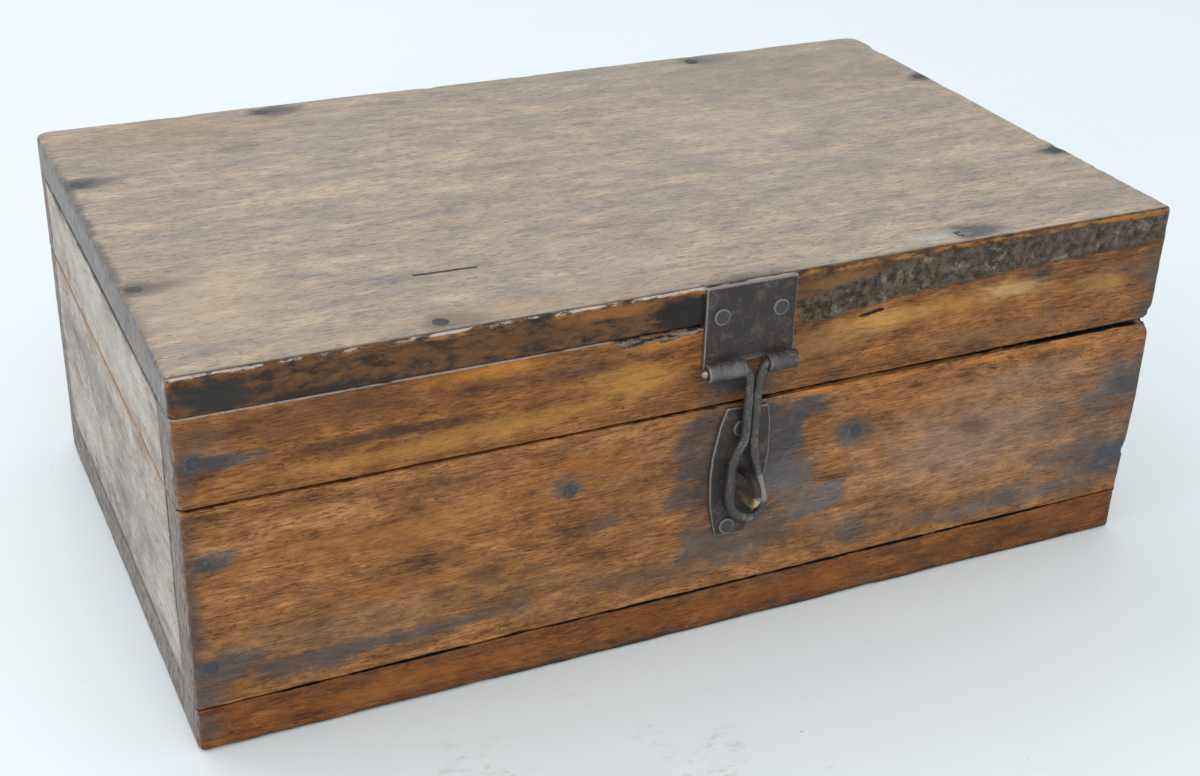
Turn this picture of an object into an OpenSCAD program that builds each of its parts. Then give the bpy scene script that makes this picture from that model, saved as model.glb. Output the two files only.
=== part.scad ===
// Wooden spice box with a hinged lid, a bent wire hasp and a padlock staple.
// Millimetres. X runs to the right, Y to the back and Z up.
// The origin is the middle of the underside of the wooden box.

/* [Box] */
// Width of the box
box_w = 300; // [260:5:340]
// Depth of the box
box_d = 180; // [150:5:220]
// Height of the lower part, up to the parting line
base_h = 74; // [70:1:90]
// Height of the lid, from the parting line to the top
lid_h = 37; // [36:1:46]
// Thickness of the wall boards
board_t = 13; // [12:0.5:15]
// Thickness of the bottom board
bottom_t = 14; // [11:0.5:16]
// Thickness of the top board
top_t = 11; // [10:0.5:13]
// Gap between the lid and the lower part
lid_gap = 0.4; // [0.3:0.1:1]
// Radius of the worn upright corners
corner_r = 4.5; // [3:0.5:7]
// Radius of the worn long edges
edge_r = 1.5; // [0.5:0.25:2]

/* [Compartments] */
// Thickness of the two cross dividers
divider_t = 8; // [6:0.5:9]
// Height of the dividers above the bottom board
divider_h = 52; // [46:1:56]
// Distance of each divider from the middle
divider_x = 45; // [35:1:60]

/* [Nails] */
// Radius of a nail head
head_r = 2.75; // [2.4:0.05:3]
// Thickness of a nail head that is driven flush
head_t = 1.1; // [0.8:0.1:1.4]
// Height of a nail head that stands on sheet iron
proud_t = 0.6; // [0.4:0.1:0.7]
// Radius of a nail shank
shank_r = 1.1; // [0.9:0.05:1.2]
// Length of a board nail
nail_len = 34; // [30:1:35]
// Length of a nail that holds sheet iron
tack_len = 11; // [8:0.5:12]
// Length of a nail's point
nail_tip = 3; // [2.5:0.1:4]
// Clearance round a nail
nail_gap = 0.05; // [0.02:0.01:0.1]
// Distance of the front and back boards' end nails from the ends of the box
wall_nail_in = 5; // [4.5:0.1:6.5]
// Distance of the level nails from the ends of the box
level_nail_in = 4; // [4:0.1:6.5]
// Height of the lower nails at the ends of the front and back boards
low_nail_z = 26.6; // [25:0.2:34]
// Height of the upper nails at the ends of the front and back boards
high_nail_z = 58; // [52:1:62]
// Height of the nails that hold the dividers
divider_nail_z = 57; // [50:1:60]
// Distance of the level nails in front of the middle, along both ends
end_nail_front = 37; // [30:1:48]
// Distance of the level nails behind the middle, along both ends
end_nail_back = 41; // [30:1:48]
// Distance of the level nails left of the middle, along the long edges
long_nail_left = 79; // [60:1:100]
// Distance of the level nails right of the middle, along the long edges
long_nail_right = 78; // [60:1:100]

/* [Sheet iron] */
// Thickness of the sheet iron
sheet_t = 1.2; // [1:0.05:1.25]
// Radius of the hinge pins, and of the hasp wire where it turns in its knuckles
pin_r = 1.5; // [1.35:0.05:1.6]
// Clearance between a pin and its knuckles
pin_gap = 0.1; // [0.05:0.01:0.1]
// Gap between two knuckles
knuckle_gap = 0.4; // [0.3:0.05:0.6]

/* [Hasp] */
// Middle of the hasp, to the right of the middle of the box
hasp_x = 8; // [0:0.5:10]
// Width of the hasp plate
plate_w = 27.6; // [26:0.2:30]
// Height of the hasp plate
plate_h = 22.4; // [20:0.2:23]
// Distance of the plate's middle from the hasp, to the left
plate_left = 1.2; // [0.8:0.1:1.6]
// Depth of the plate's nails below the top
plate_nail_drop = 8.9; // [8:0.1:10]
// Distance between the plate's two nails
plate_nail_pitch = 18; // [17:0.2:19]
// Depth of the hasp's axis below the plate's lower edge
axis_drop = 1.9; // [1.6:0.1:2.2]
// Width of the gap between the two knuckles
mouth_w = 7.4; // [7.2:0.1:8]
// Radius of the hasp wire
wire_r = 1.4; // [1.2:0.05:1.45]
// Distance between the two bends where the wires turn into the knuckles
bend_pitch = 4.2; // [4:0.1:4.3]
// Length of the neck, where the two wires come together
neck_len = 5; // [4.5:0.5:6]
// How far the shank lies in front of the hasp's axis
shank_out = 0.8; // [0.7:0.1:1.2]
// Distance of the shank's middle from the hasp's middle, to the left
shank_left = 0.5; // [0.3:0.1:0.6]
// Length from the hasp's axis to the split of the two wires
shank_len = 23.5; // [20:0.5:25]
// Length of the loop below the split
loop_len = 26.2; // [24:0.2:28]
// Largest width of the loop
loop_w = 13.6; // [13:0.2:15]

/* [Keeper] */
// Height of the keeper plate
keeper_h = 41; // [38:0.5:42]
// Largest width of the keeper plate
keeper_w = 18; // [16:0.5:20]
// Width of the keeper plate at its upper end
keeper_top_w = 13; // [11:0.5:14]
// Lean of the keeper plate to the right
keeper_lean = 4.8; // [0:0.2:6]
// Height of the keeper's middle above the lowest wire of the loop
keeper_up = 14; // [13.4:0.2:14.4]
// Distance of the keeper's middle from the hasp, to the left
keeper_left = 1.7; // [1:0.1:2]
// Height of the keeper's widest place above its middle
keeper_belly = 3; // [2:0.5:4]
// Height of the upper keeper nail above the keeper's middle
keeper_nail_up = 14.2; // [14:0.1:15]
// Depth of the lower keeper nail below the keeper's middle
keeper_nail_down = 17.2; // [16.8:0.1:17.4]
// Distance of both keeper nails from the keeper's long axis, to the left
keeper_nail_left = 1.4; // [1:0.1:1.6]
// Radius of the staple wire
staple_r = 1.3; // [1.2:0.05:1.4]
// Distance between the two legs of the staple
staple_pitch = 8; // [7.6:0.1:8.4]
// How far the staple stands out from the front board
staple_out = 11.6; // [11:0.1:13]
// Height of the staple's middle above the lowest wire of the loop
staple_up = 10.6; // [10.4:0.1:10.8]
// Distance of the staple from the hasp's middle, to the left
staple_left = 0.9; // [0.8:0.1:1.1]
// Length of each clenched end inside the box
clench_len = 9; // [6:0.5:12]

/* [Back hinges] */
// Distance of each hinge from the middle
hinge_x = 90; // [70:1:105]
// Width of a hinge
hinge_w = 26; // [22:0.5:32]
// Height of each hinge leaf from the pin
leaf_h = 27; // [24:0.5:30]
// Distance of a leaf's nails from the pin
leaf_nail_z = 18; // [16:0.5:19]
// Distance of a leaf's nails from the leaf's middle
leaf_nail_x = 7; // [6:0.5:7.5]

/* [Hidden] */
$fn = 64;
tiny = 0.01;
// A bend in the wire is this much thicker than the straight wire.
bend_swell = 0.05;
// The two wires of the shank are beaten into each other by this much on each side.
wire_bite = 0.1;
// Clearances: a knuckle from the wood, a clenched end from the board, and a leaf from
// the other leaf's knuckle.
wood_gap = 0.2;
clench_gap = 0.15;
leaf_gap = 0.5;
// How far a pin stands out of its knuckles at each end.
pin_over = 0.8;
// Radius of a nail's point, and how deep the bottom nails are sunk.
tip_r = 0.2;
nail_sunk = 0.3;
// Radius of the edges on both sides of the parting line.
parting_r = 0.5;
// Places of the loop's wire from the left of the split, down and round to its right.
// X is in half widths from the shank, and Z in heights of the loop above its foot.
loop_shape = [
  [-0.24, 1.03], [-0.93, 0.75], [-0.94, 0.27], [-0.6, 0.115], [0.09, 0.02], [0.63, 0],
  [1.04, 0.075], [1.11, 0.185], [0.87, 0.39], [0.44, 0.65], [0.24, 1.03]
];
total_h = base_h + lid_h;
lid_z = base_h + lid_gap;
top_z = total_h - top_t;
front = -box_d / 2;
back = box_d / 2;
knuckle_ri = pin_r + pin_gap;
knuckle_r = knuckle_ri + sheet_t;
// The knuckles just clear the wood behind them.
axis_out = knuckle_r + wood_gap;
hasp_y = front - axis_out;
hasp_z = total_h - plate_h - axis_drop;
shank_x = hasp_x - shank_left;
shank_y = hasp_y - shank_out;
neck_z = hasp_z - neck_len;
plate_x = hasp_x - plate_left - plate_w / 2;
split_z = hasp_z - shank_len;
loop_rc = loop_w / 2 - wire_r;
loop_z = split_z - loop_len + wire_r;
keeper_z = loop_z + keeper_up;
keeper_x = hasp_x - keeper_left;
// The side arcs of the keeper pass through its widest point and its upper corners.
keeper_rise = keeper_h / 2 - keeper_belly;
keeper_sag = (keeper_w - keeper_top_w) / 2;
keeper_arc = (keeper_rise * keeper_rise + keeper_sag * keeper_sag) / (2 * keeper_sag);
staple_z = loop_z + staple_up;
staple_x = hasp_x - staple_left;
staple_bend = staple_pitch / 2;
staple_y = front - staple_out + staple_r + staple_bend;
clench_y = front + board_t + staple_r + clench_gap;
hinge_y = back + axis_out;
hinge_z = base_h + lid_gap / 2;
wall_nail_x = box_w / 2 - wall_nail_in;
level_nail_x = box_w / 2 - level_nail_in;
side_nail_y = box_d / 2 - board_t / 2;
lid_nail_z = (lid_z + top_z) / 2;
plate_nail_z = total_h - plate_nail_drop;

// Nail places, each as [x, z] on a front or back face or [x, y] on a level face.
wall_nails = [for (s = [-1, 1], z = [low_nail_z, high_nail_z]) [s * wall_nail_x, z]];
wall_divider_nails = [for (s = [-1, 1]) [s * divider_x, divider_nail_z]];
rim_nails = [for (s = [-1, 1]) [s * wall_nail_x, lid_nail_z]];
level_nails = concat(
  [for (s = [-1, 1], y = [-end_nail_front, end_nail_back]) [s * level_nail_x, y]],
  [for (s = [-1, 1], x = [-long_nail_left, long_nail_right]) [x, s * side_nail_y]]
);
plate_nails = [for (s = [-1, 1]) [hasp_x - plate_left + s * plate_nail_pitch / 2, plate_nail_z]];
keeper_nails_at = [
  for (z = [keeper_nail_up, -keeper_nail_down])
    [keeper_x + z * tan(keeper_lean) - keeper_nail_left, keeper_z + z]
];
leaf_nails = [for (h = [-1, 1], s = [-1, 1]) [h * hinge_x + s * leaf_nail_x, leaf_nail_z]];

// A nail whose head's outer face is at zero and whose point goes up.
module nail(len, head, grow = 0) {
  cylinder(r = head_r + grow, h = head + grow);
  cylinder(r = shank_r + grow, h = len - nail_tip);
  translate([0, 0, len - nail_tip - tiny])
    cylinder(r1 = shank_r + grow, r2 = tip_r + grow, h = nail_tip + grow);
}

// Nails driven in through the front face, or with side 1 through the back face.
module wall_driven(places, side, len = nail_len, lift = 0, head = head_t, grow = 0) {
  for (p = places)
    translate([p[0], side * (back + lift), p[1]])
      rotate([side * 90, 0, 0])
        nail(len, head, grow);
}

// Nails driven down through the top board.
module top_driven(grow = 0) {
  for (p = level_nails)
    translate([p[0], p[1], total_h])
      mirror([0, 0, 1])
        nail(nail_len, head_t, grow);
}

// Nails driven up through the bottom board, with their heads sunk a little.
module bottom_driven(grow = 0) {
  open = nail_sunk * sign(grow);
  for (p = level_nails)
    translate([p[0], p[1], nail_sunk - open])
      nail(nail_len + open, head_t + open, grow);
}

// Nails driven through sheet iron into the wood behind it.
module tacks(places, side, grow = 0) {
  wall_driven(places, side, tack_len + sheet_t + proud_t, sheet_t + proud_t, proud_t, grow);
}

// Outline of a corner: straight inside, rounded at the chosen ends outside.
module corner_profile(h, low_r, high_r) {
  difference() {
    square([corner_r, h]);
    if (low_r > 0)
      edge_cut(corner_r - low_r, low_r, low_r, -1);
    if (high_r > 0)
      edge_cut(corner_r - high_r, h - high_r, high_r, 1);
  }
}

// What a rounded edge of radius r takes off, with its centre at x, y.
module edge_cut(x, y, r, up) {
  difference() {
    translate([x, up > 0 ? y : y - r - 1])
      square([r + 1, r + 1]);
    translate([x, y])
      circle(r);
  }
}

// A block with worn round corners, and worn edges below and above.
module worn_block(z, h, low_r, high_r) {
  cx = box_w / 2 - corner_r;
  cy = box_d / 2 - corner_r;
  translate([0, 0, z]) {
    translate([-cx, -cy, 0])
      cube([2 * cx, 2 * cy, h]);
    for (x = [-1, 1], y = [-1, 1])
      translate([x * cx, y * cy, 0])
        rotate_extrude()
          corner_profile(h, low_r, high_r);
    for (s = [0, 180])
      rotate(s) {
        translate([cx, cy, 0])
          rotate([90, 0, 0])
            linear_extrude(2 * cy)
              corner_profile(h, low_r, high_r);
        translate([-cx, cy, 0])
          rotate([90, 0, 90])
            linear_extrude(2 * cx)
              corner_profile(h, low_r, high_r);
      }
  }
}

// A board: the part of a worn block inside a plain box.
module board(low, high, z, h, low_r, high_r) {
  intersection() {
    worn_block(z, h, low_r, high_r);
    translate(low)
      cube(high - low);
  }
}

module base_wall(low, high) {
  board(low, high, 0, base_h, edge_r, parting_r);
}

module lid_wall(low, high) {
  board(low, high, lid_z, total_h - lid_z, parting_r, edge_r);
}

module base_bottom() {
  color("saddlebrown")
    difference() {
      base_wall([-box_w / 2, front, 0], [box_w / 2, back, bottom_t]);
      bottom_driven(nail_gap);
    }
}

module base_front() {
  color("sienna")
    difference() {
      base_wall([-box_w / 2, front, bottom_t], [box_w / 2, front + board_t, base_h]);
      wall_driven(concat(wall_nails, wall_divider_nails), -1, grow = nail_gap);
      bottom_driven(nail_gap);
      tacks(keeper_nails_at, -1, nail_gap);
      staple_legs(nail_gap);
    }
}

module base_back() {
  color("sienna")
    difference() {
      base_wall([-box_w / 2, back - board_t, bottom_t], [box_w / 2, back, base_h]);
      wall_driven(concat(wall_nails, wall_divider_nails), 1, grow = nail_gap);
      bottom_driven(nail_gap);
      hinge_tacks(-1, nail_gap);
    }
}

module base_side(s) {
  x = s * (box_w - board_t) / 2 - board_t / 2;
  color("sienna")
    difference() {
      base_wall([x, front + board_t, bottom_t], [x + board_t, back - board_t, base_h]);
      wall_driven(wall_nails, -1, grow = nail_gap);
      wall_driven(wall_nails, 1, grow = nail_gap);
      bottom_driven(nail_gap);
    }
}

module base_left() {
  base_side(-1);
}

module base_right() {
  base_side(1);
}

module divider(s) {
  color("peru")
    difference() {
      translate([s * divider_x - divider_t / 2, front + board_t, bottom_t])
        cube([divider_t, box_d - 2 * board_t, divider_h]);
      wall_driven(wall_divider_nails, -1, grow = nail_gap);
      wall_driven(wall_divider_nails, 1, grow = nail_gap);
    }
}

module divider_left() {
  divider(-1);
}

module divider_right() {
  divider(1);
}

module base_front_nails() {
  color("dimgray")
    wall_driven(wall_nails, -1);
}

module base_back_nails() {
  color("dimgray")
    wall_driven(wall_nails, 1);
}

module base_bottom_nails() {
  color("dimgray")
    bottom_driven();
}

module divider_nails() {
  color("dimgray")
    for (side = [-1, 1])
      wall_driven(wall_divider_nails, side);
}

module lid_top() {
  color("rosybrown")
    difference() {
      lid_wall([-box_w / 2, front, top_z], [box_w / 2, back, total_h]);
      top_driven(nail_gap);
      tacks(plate_nails, -1, nail_gap);
    }
}

module lid_front() {
  color("sienna")
    difference() {
      lid_wall([-box_w / 2, front, lid_z], [box_w / 2, front + board_t, top_z]);
      wall_driven(rim_nails, -1, grow = nail_gap);
      top_driven(nail_gap);
    }
}

module lid_back() {
  color("sienna")
    difference() {
      lid_wall([-box_w / 2, back - board_t, lid_z], [box_w / 2, back, top_z]);
      wall_driven(rim_nails, 1, grow = nail_gap);
      top_driven(nail_gap);
      hinge_tacks(1, nail_gap);
    }
}

module lid_side(s) {
  x = s * (box_w - board_t) / 2 - board_t / 2;
  color("sienna")
    difference() {
      lid_wall([x, front + board_t, lid_z], [x + board_t, back - board_t, top_z]);
      wall_driven(rim_nails, -1, grow = nail_gap);
      wall_driven(rim_nails, 1, grow = nail_gap);
      top_driven(nail_gap);
    }
}

module lid_left() {
  lid_side(-1);
}

module lid_right() {
  lid_side(1);
}

module lid_top_nails() {
  color("dimgray")
    top_driven();
}

module lid_front_nails() {
  color("dimgray")
    wall_driven(rim_nails, -1);
}

module lid_back_nails() {
  color("dimgray")
    wall_driven(rim_nails, 1);
}

// Section of a rolled knuckle on a flat sheet. The sheet lies against the wood at
// x = -axis_out and comes down to the pin axis at zero, rolls under the pin and
// ends above it, so that its free edge shows.
module rolled_section() {
  difference() {
    circle(knuckle_r);
    circle(knuckle_ri);
    polygon([[0, 0], [-3, 5], [1.2, 5]]);
  }
  translate([-axis_out, 0])
    square([sheet_t, knuckle_r + 1]);
  difference() {
    translate([-axis_out, -0.6])
      square([sheet_t, 0.8]);
    circle(knuckle_ri);
  }
}

// One knuckle that runs from x0 to x1 along the pin at height zero.
module knuckle(x0, x1) {
  translate([x0, 0, 0])
    rotate([90, 0, 90])
      linear_extrude(x1 - x0)
        rolled_section();
}

// The hasp plate: flat sheet iron on the lid, with two knuckles below.
module hasp_plate() {
  color("dimgray")
    difference() {
      union() {
        translate([plate_x, front - sheet_t, hasp_z + axis_drop])
          cube([plate_w, sheet_t, plate_h]);
        for (x = [[plate_x, hasp_x - mouth_w / 2], [hasp_x + mouth_w / 2, plate_x + plate_w]])
          translate([0, hasp_y, hasp_z])
            mirror([0, 1, 0])
              knuckle(x[0], x[1]);
      }
      tacks(plate_nails, -1, nail_gap);
    }
}

module hasp_plate_nails() {
  color("dimgray")
    tacks(plate_nails, -1);
}

// A straight piece of wire from a to b, with a slightly full round bend at each end.
module wire(a, b, r) {
  d = b - a;
  len = norm(d);
  translate(a)
    rotate([0, acos(d[2] / len), atan2(d[1], d[0])])
      cylinder(r = r, h = len);
  for (p = [a, b])
    translate(p)
      sphere(r + bend_swell);
}

// One side of the hasp: an end that turns in its knuckle, a neck and half the shank.
module hasp_side(s) {
  end_x = hasp_x - plate_left + s * (plate_w / 2 + pin_over - pin_r);
  bend = [hasp_x + s * bend_pitch / 2, hasp_y, hasp_z];
  neck = [shank_x + s * (wire_r - wire_bite), shank_y, neck_z];
  wire([end_x, hasp_y, hasp_z], bend, pin_r);
  wire(bend, neck, wire_r);
  wire(neck, [neck[0], shank_y, split_z], wire_r);
}

// The hasp is one wire, bent double: its ends lie in the plate's knuckles, the two
// wires run down side by side, and a loop goes over the staple.
module hasp() {
  places = [for (p = loop_shape)
    [shank_x + p[0] * loop_rc, shank_y, loop_z + p[1] * (split_z - loop_z)]];
  color("gray") {
    hasp_side(-1);
    hasp_side(1);
    for (n = [1 : len(places) - 1])
      wire(places[n - 1], places[n], wire_r);
  }
}

// Leaf-shaped sheet that the staple goes through.
module keeper_plate() {
  color("dimgray")
    difference() {
      translate([keeper_x, front, keeper_z])
        rotate([90, keeper_lean, 0])
          linear_extrude(sheet_t)
            intersection() {
              square([keeper_w + 2, keeper_h], center = true);
              keeper_arc_side(-1);
              keeper_arc_side(1);
            }
      tacks(keeper_nails_at, -1, nail_gap);
      staple_legs(nail_gap);
    }
}

module keeper_arc_side(s) {
  translate([s * (keeper_arc - keeper_w / 2), keeper_belly])
    circle(keeper_arc, $fn = 200);
}

module keeper_nails() {
  color("dimgray")
    tacks(keeper_nails_at, -1);
}

// The two straight legs of the staple, through the keeper and the front board.
module staple_legs(grow = 0) {
  for (s = [-1, 1])
    translate([staple_x, staple_y, staple_z + s * staple_bend])
      rotate([-90, 0, 0])
        cylinder(r = staple_r + grow, h = clench_y - staple_y);
}

// A wire staple whose ends are bent over against the inner face of the board.
module staple() {
  color("gray") {
    staple_legs();
    translate([staple_x, staple_y, staple_z])
      rotate([0, 90, 0])
        rotate([0, 0, 180])
          rotate_extrude(angle = 180)
            translate([staple_bend, 0])
              circle(staple_r);
    for (s = [-1, 1])
      wire(
        [staple_x, clench_y, staple_z + s * staple_bend],
        [staple_x, clench_y, staple_z + s * (staple_bend + clench_len)],
        staple_r
      );
  }
}

// Hinge nails, with side 1 for the lid leaves and side -1 for the base leaves.
module hinge_tacks(side, grow = 0) {
  tacks([for (p = leaf_nails) [p[0], hinge_z + side * p[1]]], 1, grow);
}

// Flat part of a back hinge leaf, with side 1 for the lid and side -1 for the base.
module leaf_sheet(s, side) {
  gap = knuckle_r + leaf_gap;
  translate([s * hinge_x - hinge_w / 2, back, hinge_z + (side > 0 ? gap : -leaf_h)])
    cube([hinge_w, sheet_t, leaf_h - gap]);
  for (x = side > 0 ? outer_spans(s) : [inner_span(s)])
    translate([x[0], back, hinge_z + (side > 0 ? 2 : -gap - tiny)])
      cube([x[1] - x[0], sheet_t, gap - 2 + tiny]);
}

function inner_span(s) = [s * hinge_x - hinge_w / 6, s * hinge_x + hinge_w / 6];

function outer_spans(s) = [
  [s * hinge_x - hinge_w / 2, s * hinge_x - hinge_w / 6 - knuckle_gap],
  [s * hinge_x + hinge_w / 6 + knuckle_gap, s * hinge_x + hinge_w / 2]
];

module hinge_leaf(s, side) {
  color("dimgray")
    difference() {
      union() {
        leaf_sheet(s, side);
        for (x = side > 0 ? outer_spans(s) : [inner_span(s)])
          translate([0, hinge_y, hinge_z])
            mirror([0, 0, side > 0 ? 0 : 1])
              knuckle(x[0], x[1]);
      }
      hinge_tacks(side, nail_gap);
    }
}

module hinge_lid_leaf_left() {
  hinge_leaf(-1, 1);
}

module hinge_lid_leaf_right() {
  hinge_leaf(1, 1);
}

module hinge_base_leaf_left() {
  hinge_leaf(-1, -1);
}

module hinge_base_leaf_right() {
  hinge_leaf(1, -1);
}

module hinge_pin(s) {
  color("gray")
    translate([s * hinge_x - hinge_w / 2 - pin_over, hinge_y, hinge_z])
      rotate([0, 90, 0])
        cylinder(r = pin_r, h = hinge_w + 2 * pin_over);
}

module hinge_pin_left() {
  hinge_pin(-1);
}

module hinge_pin_right() {
  hinge_pin(1);
}

module hinge_lid_nails() {
  color("dimgray")
    hinge_tacks(1);
}

module hinge_base_nails() {
  color("dimgray")
    hinge_tacks(-1);
}

base_bottom();
base_front();
base_back();
base_left();
base_right();
divider_left();
divider_right();
base_front_nails();
base_back_nails();
base_bottom_nails();
divider_nails();
lid_top();
lid_front();
lid_back();
lid_left();
lid_right();
lid_top_nails();
lid_front_nails();
lid_back_nails();
hasp_plate();
hasp_plate_nails();
hasp();
keeper_plate();
keeper_nails();
staple();
hinge_lid_leaf_left();
hinge_lid_leaf_right();
hinge_base_leaf_left();
hinge_base_leaf_right();
hinge_pin_left();
hinge_pin_right();
hinge_lid_nails();
hinge_base_nails();
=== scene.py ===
"""A worn wooden spice box: nailed boards, a hinged lid, and a wire hasp over a staple.

Every length but a lamp's is in millimetres, until Shape.build turns it into metres.
X runs to the right, Y to the back and Z up, from the middle of the box's underside.
"""

from __future__ import annotations

import logging
import math
from dataclasses import dataclass
from enum import Enum
from typing import Callable, Iterable, Sequence

import bpy
import numpy as np
from mathutils import Matrix, Vector

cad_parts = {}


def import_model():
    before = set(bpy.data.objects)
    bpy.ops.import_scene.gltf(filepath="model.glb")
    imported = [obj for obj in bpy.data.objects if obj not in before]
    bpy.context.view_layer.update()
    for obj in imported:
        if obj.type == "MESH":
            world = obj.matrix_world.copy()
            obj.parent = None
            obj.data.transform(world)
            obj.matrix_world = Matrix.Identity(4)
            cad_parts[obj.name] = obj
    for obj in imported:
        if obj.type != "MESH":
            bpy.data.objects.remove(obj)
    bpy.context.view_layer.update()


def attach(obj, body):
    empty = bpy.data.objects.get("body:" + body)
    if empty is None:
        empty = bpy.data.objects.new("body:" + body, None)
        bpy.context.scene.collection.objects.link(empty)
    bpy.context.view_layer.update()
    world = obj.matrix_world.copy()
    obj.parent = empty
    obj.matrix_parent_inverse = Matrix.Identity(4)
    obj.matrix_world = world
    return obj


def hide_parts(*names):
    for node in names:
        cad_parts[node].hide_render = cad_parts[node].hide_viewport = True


LOG = logging.getLogger("spice_box")

Array = np.ndarray
Triple = tuple[float, float, float]
Pair = tuple[float, float]
Colour = tuple[float, float, float]

MM = 0.001
WIDTH = 300.0
DEPTH = 180.0
PARTING = 74.0
TOP = 111.0
LID_LOW = 74.4
TOP_UNDER = 100.0
BOTTOM_TOP = 14.0
BOARD = 13.0
FRONT = -DEPTH / 2
BACK = DEPTH / 2
HASP_X = 8.0
HASP_OUT = 3.0
HASP_Z = 86.7
HINGE_X = 90.0
HINGE_Z = 74.2
SHEET = 1.2
KNUCKLE_MID = 2.2
NAIL_RIM = 2.75
WIRE_SIDES = 16
NAIL_SIDES = 22
FLAT_ROWS = 26
ROLL_ROWS = 36
DIVIDER_X = 45.0
DIVIDER_TOP = 66.0
DIVIDER_HALF = 4.0


class Grain(Enum):
    """The axis that a board's fibres run along."""

    ALONG_X = 0
    ALONG_Y = 1


class Slot(Enum):
    """The record's material slots."""

    TOP = "weathered_top_wood"
    WALL = "orange_brown_wood"
    INNER = "raw_inner_wood"
    SHEET = "dark_sheet_iron"
    WIRE = "dark_iron_wire"
    NAIL = "iron_nails"


def smooth(low: float, high: float, x: Array) -> Array:
    """Return 0 below low, 1 above high, and a smooth cubic step between them."""
    t = np.clip((x - low) / (high - low), 0, 1)
    return t * t * (3 - 2 * t)


def lattice(cells: Array, seed: int) -> Array:
    """Return one fixed value for each integer cell, by mixing the bits of its numbers and the seed.

    Args:
        cells: rows of the whole numbers i, j and k.
        seed: which set of values is used.

    Returns:
        Values from 0 to 1.
    """
    i, j, k = (cells[..., n].astype(np.int64) for n in range(3))
    h = (i * 374761393 + j * 668265263 + k * 2147483647 + seed * 974711) & 0xFFFFFFFF
    h = ((h ^ (h >> 13)) * 1274126177) & 0xFFFFFFFF
    return ((h ^ (h >> 16)) & 0xFFFFFF) / float(0xFFFFFF)


def noise(points: Array, sizes: Sequence[float], seed: int = 0) -> Array:
    """Return smooth value noise from 0 to 1, with one lump about every sizes mm on each axis.

    The value at a point is the lattice values of its cell's eight corners, mixed by a cubic
    step of its place within the cell.

    Args:
        points: the places in mm.
        sizes: the size of a lump along X, Y and Z.
        seed: which noise is used.

    Returns:
        One value for each point.
    """
    q = points / np.array(sizes) + 100
    base = np.floor(q)
    f = q - base
    f = f * f * (3 - 2 * f)
    total = np.zeros(points.shape[:-1])
    for corner in np.ndindex(2, 2, 2):
        c = np.array(corner)
        weight = np.prod(np.where(c == 1, f, 1 - f), axis=-1)
        total += weight * lattice(base + c, seed)
    return total


def ticks(low: float, high: float, step: float, rim: float = 4.0, fine: float = 0.5) -> Array:
    """Return grid lines that lie closer together near both ends.

    Args:
        low: the first line.
        high: the last line.
        step: the distance between lines in the middle.
        rim: how far from each end the lines are close.
        fine: the distance between close lines.

    Returns:
        The lines in order.
    """
    rim = min(rim, (high - low) / 2)
    inner = max(1, round((high - low - 2 * rim) / step))
    near = np.linspace(0, rim, max(2, round(rim / fine) + 1))
    middle = np.linspace(low + rim, high - rim, inner + 1)
    return np.unique(np.round(np.concatenate([low + near, middle, high - near]), 4))


def vertex_normals(points: Array, quads: Array) -> Array:
    """Return unit normals: the sum of the diagonals' cross products of the quads round each point.

    Args:
        points: the places of the points.
        quads: the point numbers of each quad.

    Returns:
        One unit vector for each point.
    """
    a, b, c, d = (points[quads[:, n]] for n in range(4))
    face = np.cross(c - a, d - b)
    total = np.zeros_like(points)
    for n in range(4):
        np.add.at(total, quads[:, n], face)
    return total / np.maximum(np.linalg.norm(total, axis=1, keepdims=True), 1e-9)


@dataclass
class Shape:
    """A mesh in the making: points in mm, quads of point numbers, and how bright each point's metal is
    painted, for wear and partly as a painted highlight.
    """

    points: Array
    quads: Array
    wear: Array | None = None

    @staticmethod
    def joined(shapes: Iterable["Shape"]) -> "Shape":
        """Put shapes together without merging their points.

        Args:
            shapes: the shapes.

        Returns:
            One shape that holds them all.
        """
        points, quads, wear, count = [], [], [], 0
        for shape in shapes:
            points.append(shape.points)
            quads.append(shape.quads + count)
            wear.append(np.zeros(len(shape.points)) if shape.wear is None else shape.wear)
            count += len(shape.points)
        return Shape(np.concatenate(points), np.concatenate(quads), np.concatenate(wear))

    def build(self, name: str, material: bpy.types.Material) -> bpy.types.Object:
        """Make a smooth-shaded object at the origin, with the points turned into metres.

        Args:
            name: the object's name.
            material: its only finish.

        Returns:
            The object, linked to the scene.
        """
        mesh = bpy.data.meshes.new(name)
        mesh.from_pydata((self.points * MM).tolist(), [], self.quads.tolist())
        mesh.validate()
        mesh.polygons.foreach_set("use_smooth", np.ones(len(mesh.polygons), bool))
        if self.wear is not None:
            worn = mesh.attributes.new("wear", "FLOAT", "POINT")
            worn.data.foreach_set("value", self.wear.astype(np.float32))
        mesh.materials.append(material)
        mesh.update()
        piece = bpy.data.objects.new(name, mesh)
        bpy.context.scene.collection.objects.link(piece)
        return piece


def grid_quads(rows: int, columns: int, closed: bool = False) -> Array:
    """Return the quads of a grid whose points run row by row.

    Args:
        rows: how many rows there are.
        columns: how many points a row has.
        closed: whether the last column joins the first.

    Returns:
        Four point numbers for each quad.
    """
    r, c = np.meshgrid(np.arange(rows - 1), np.arange(columns - (not closed)), indexing="ij")
    r, c = r.ravel(), c.ravel()
    after = (c + 1) % columns
    below = r * columns
    above = below + columns
    return np.stack([below + c, below + after, above + after, above + c], 1)


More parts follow.
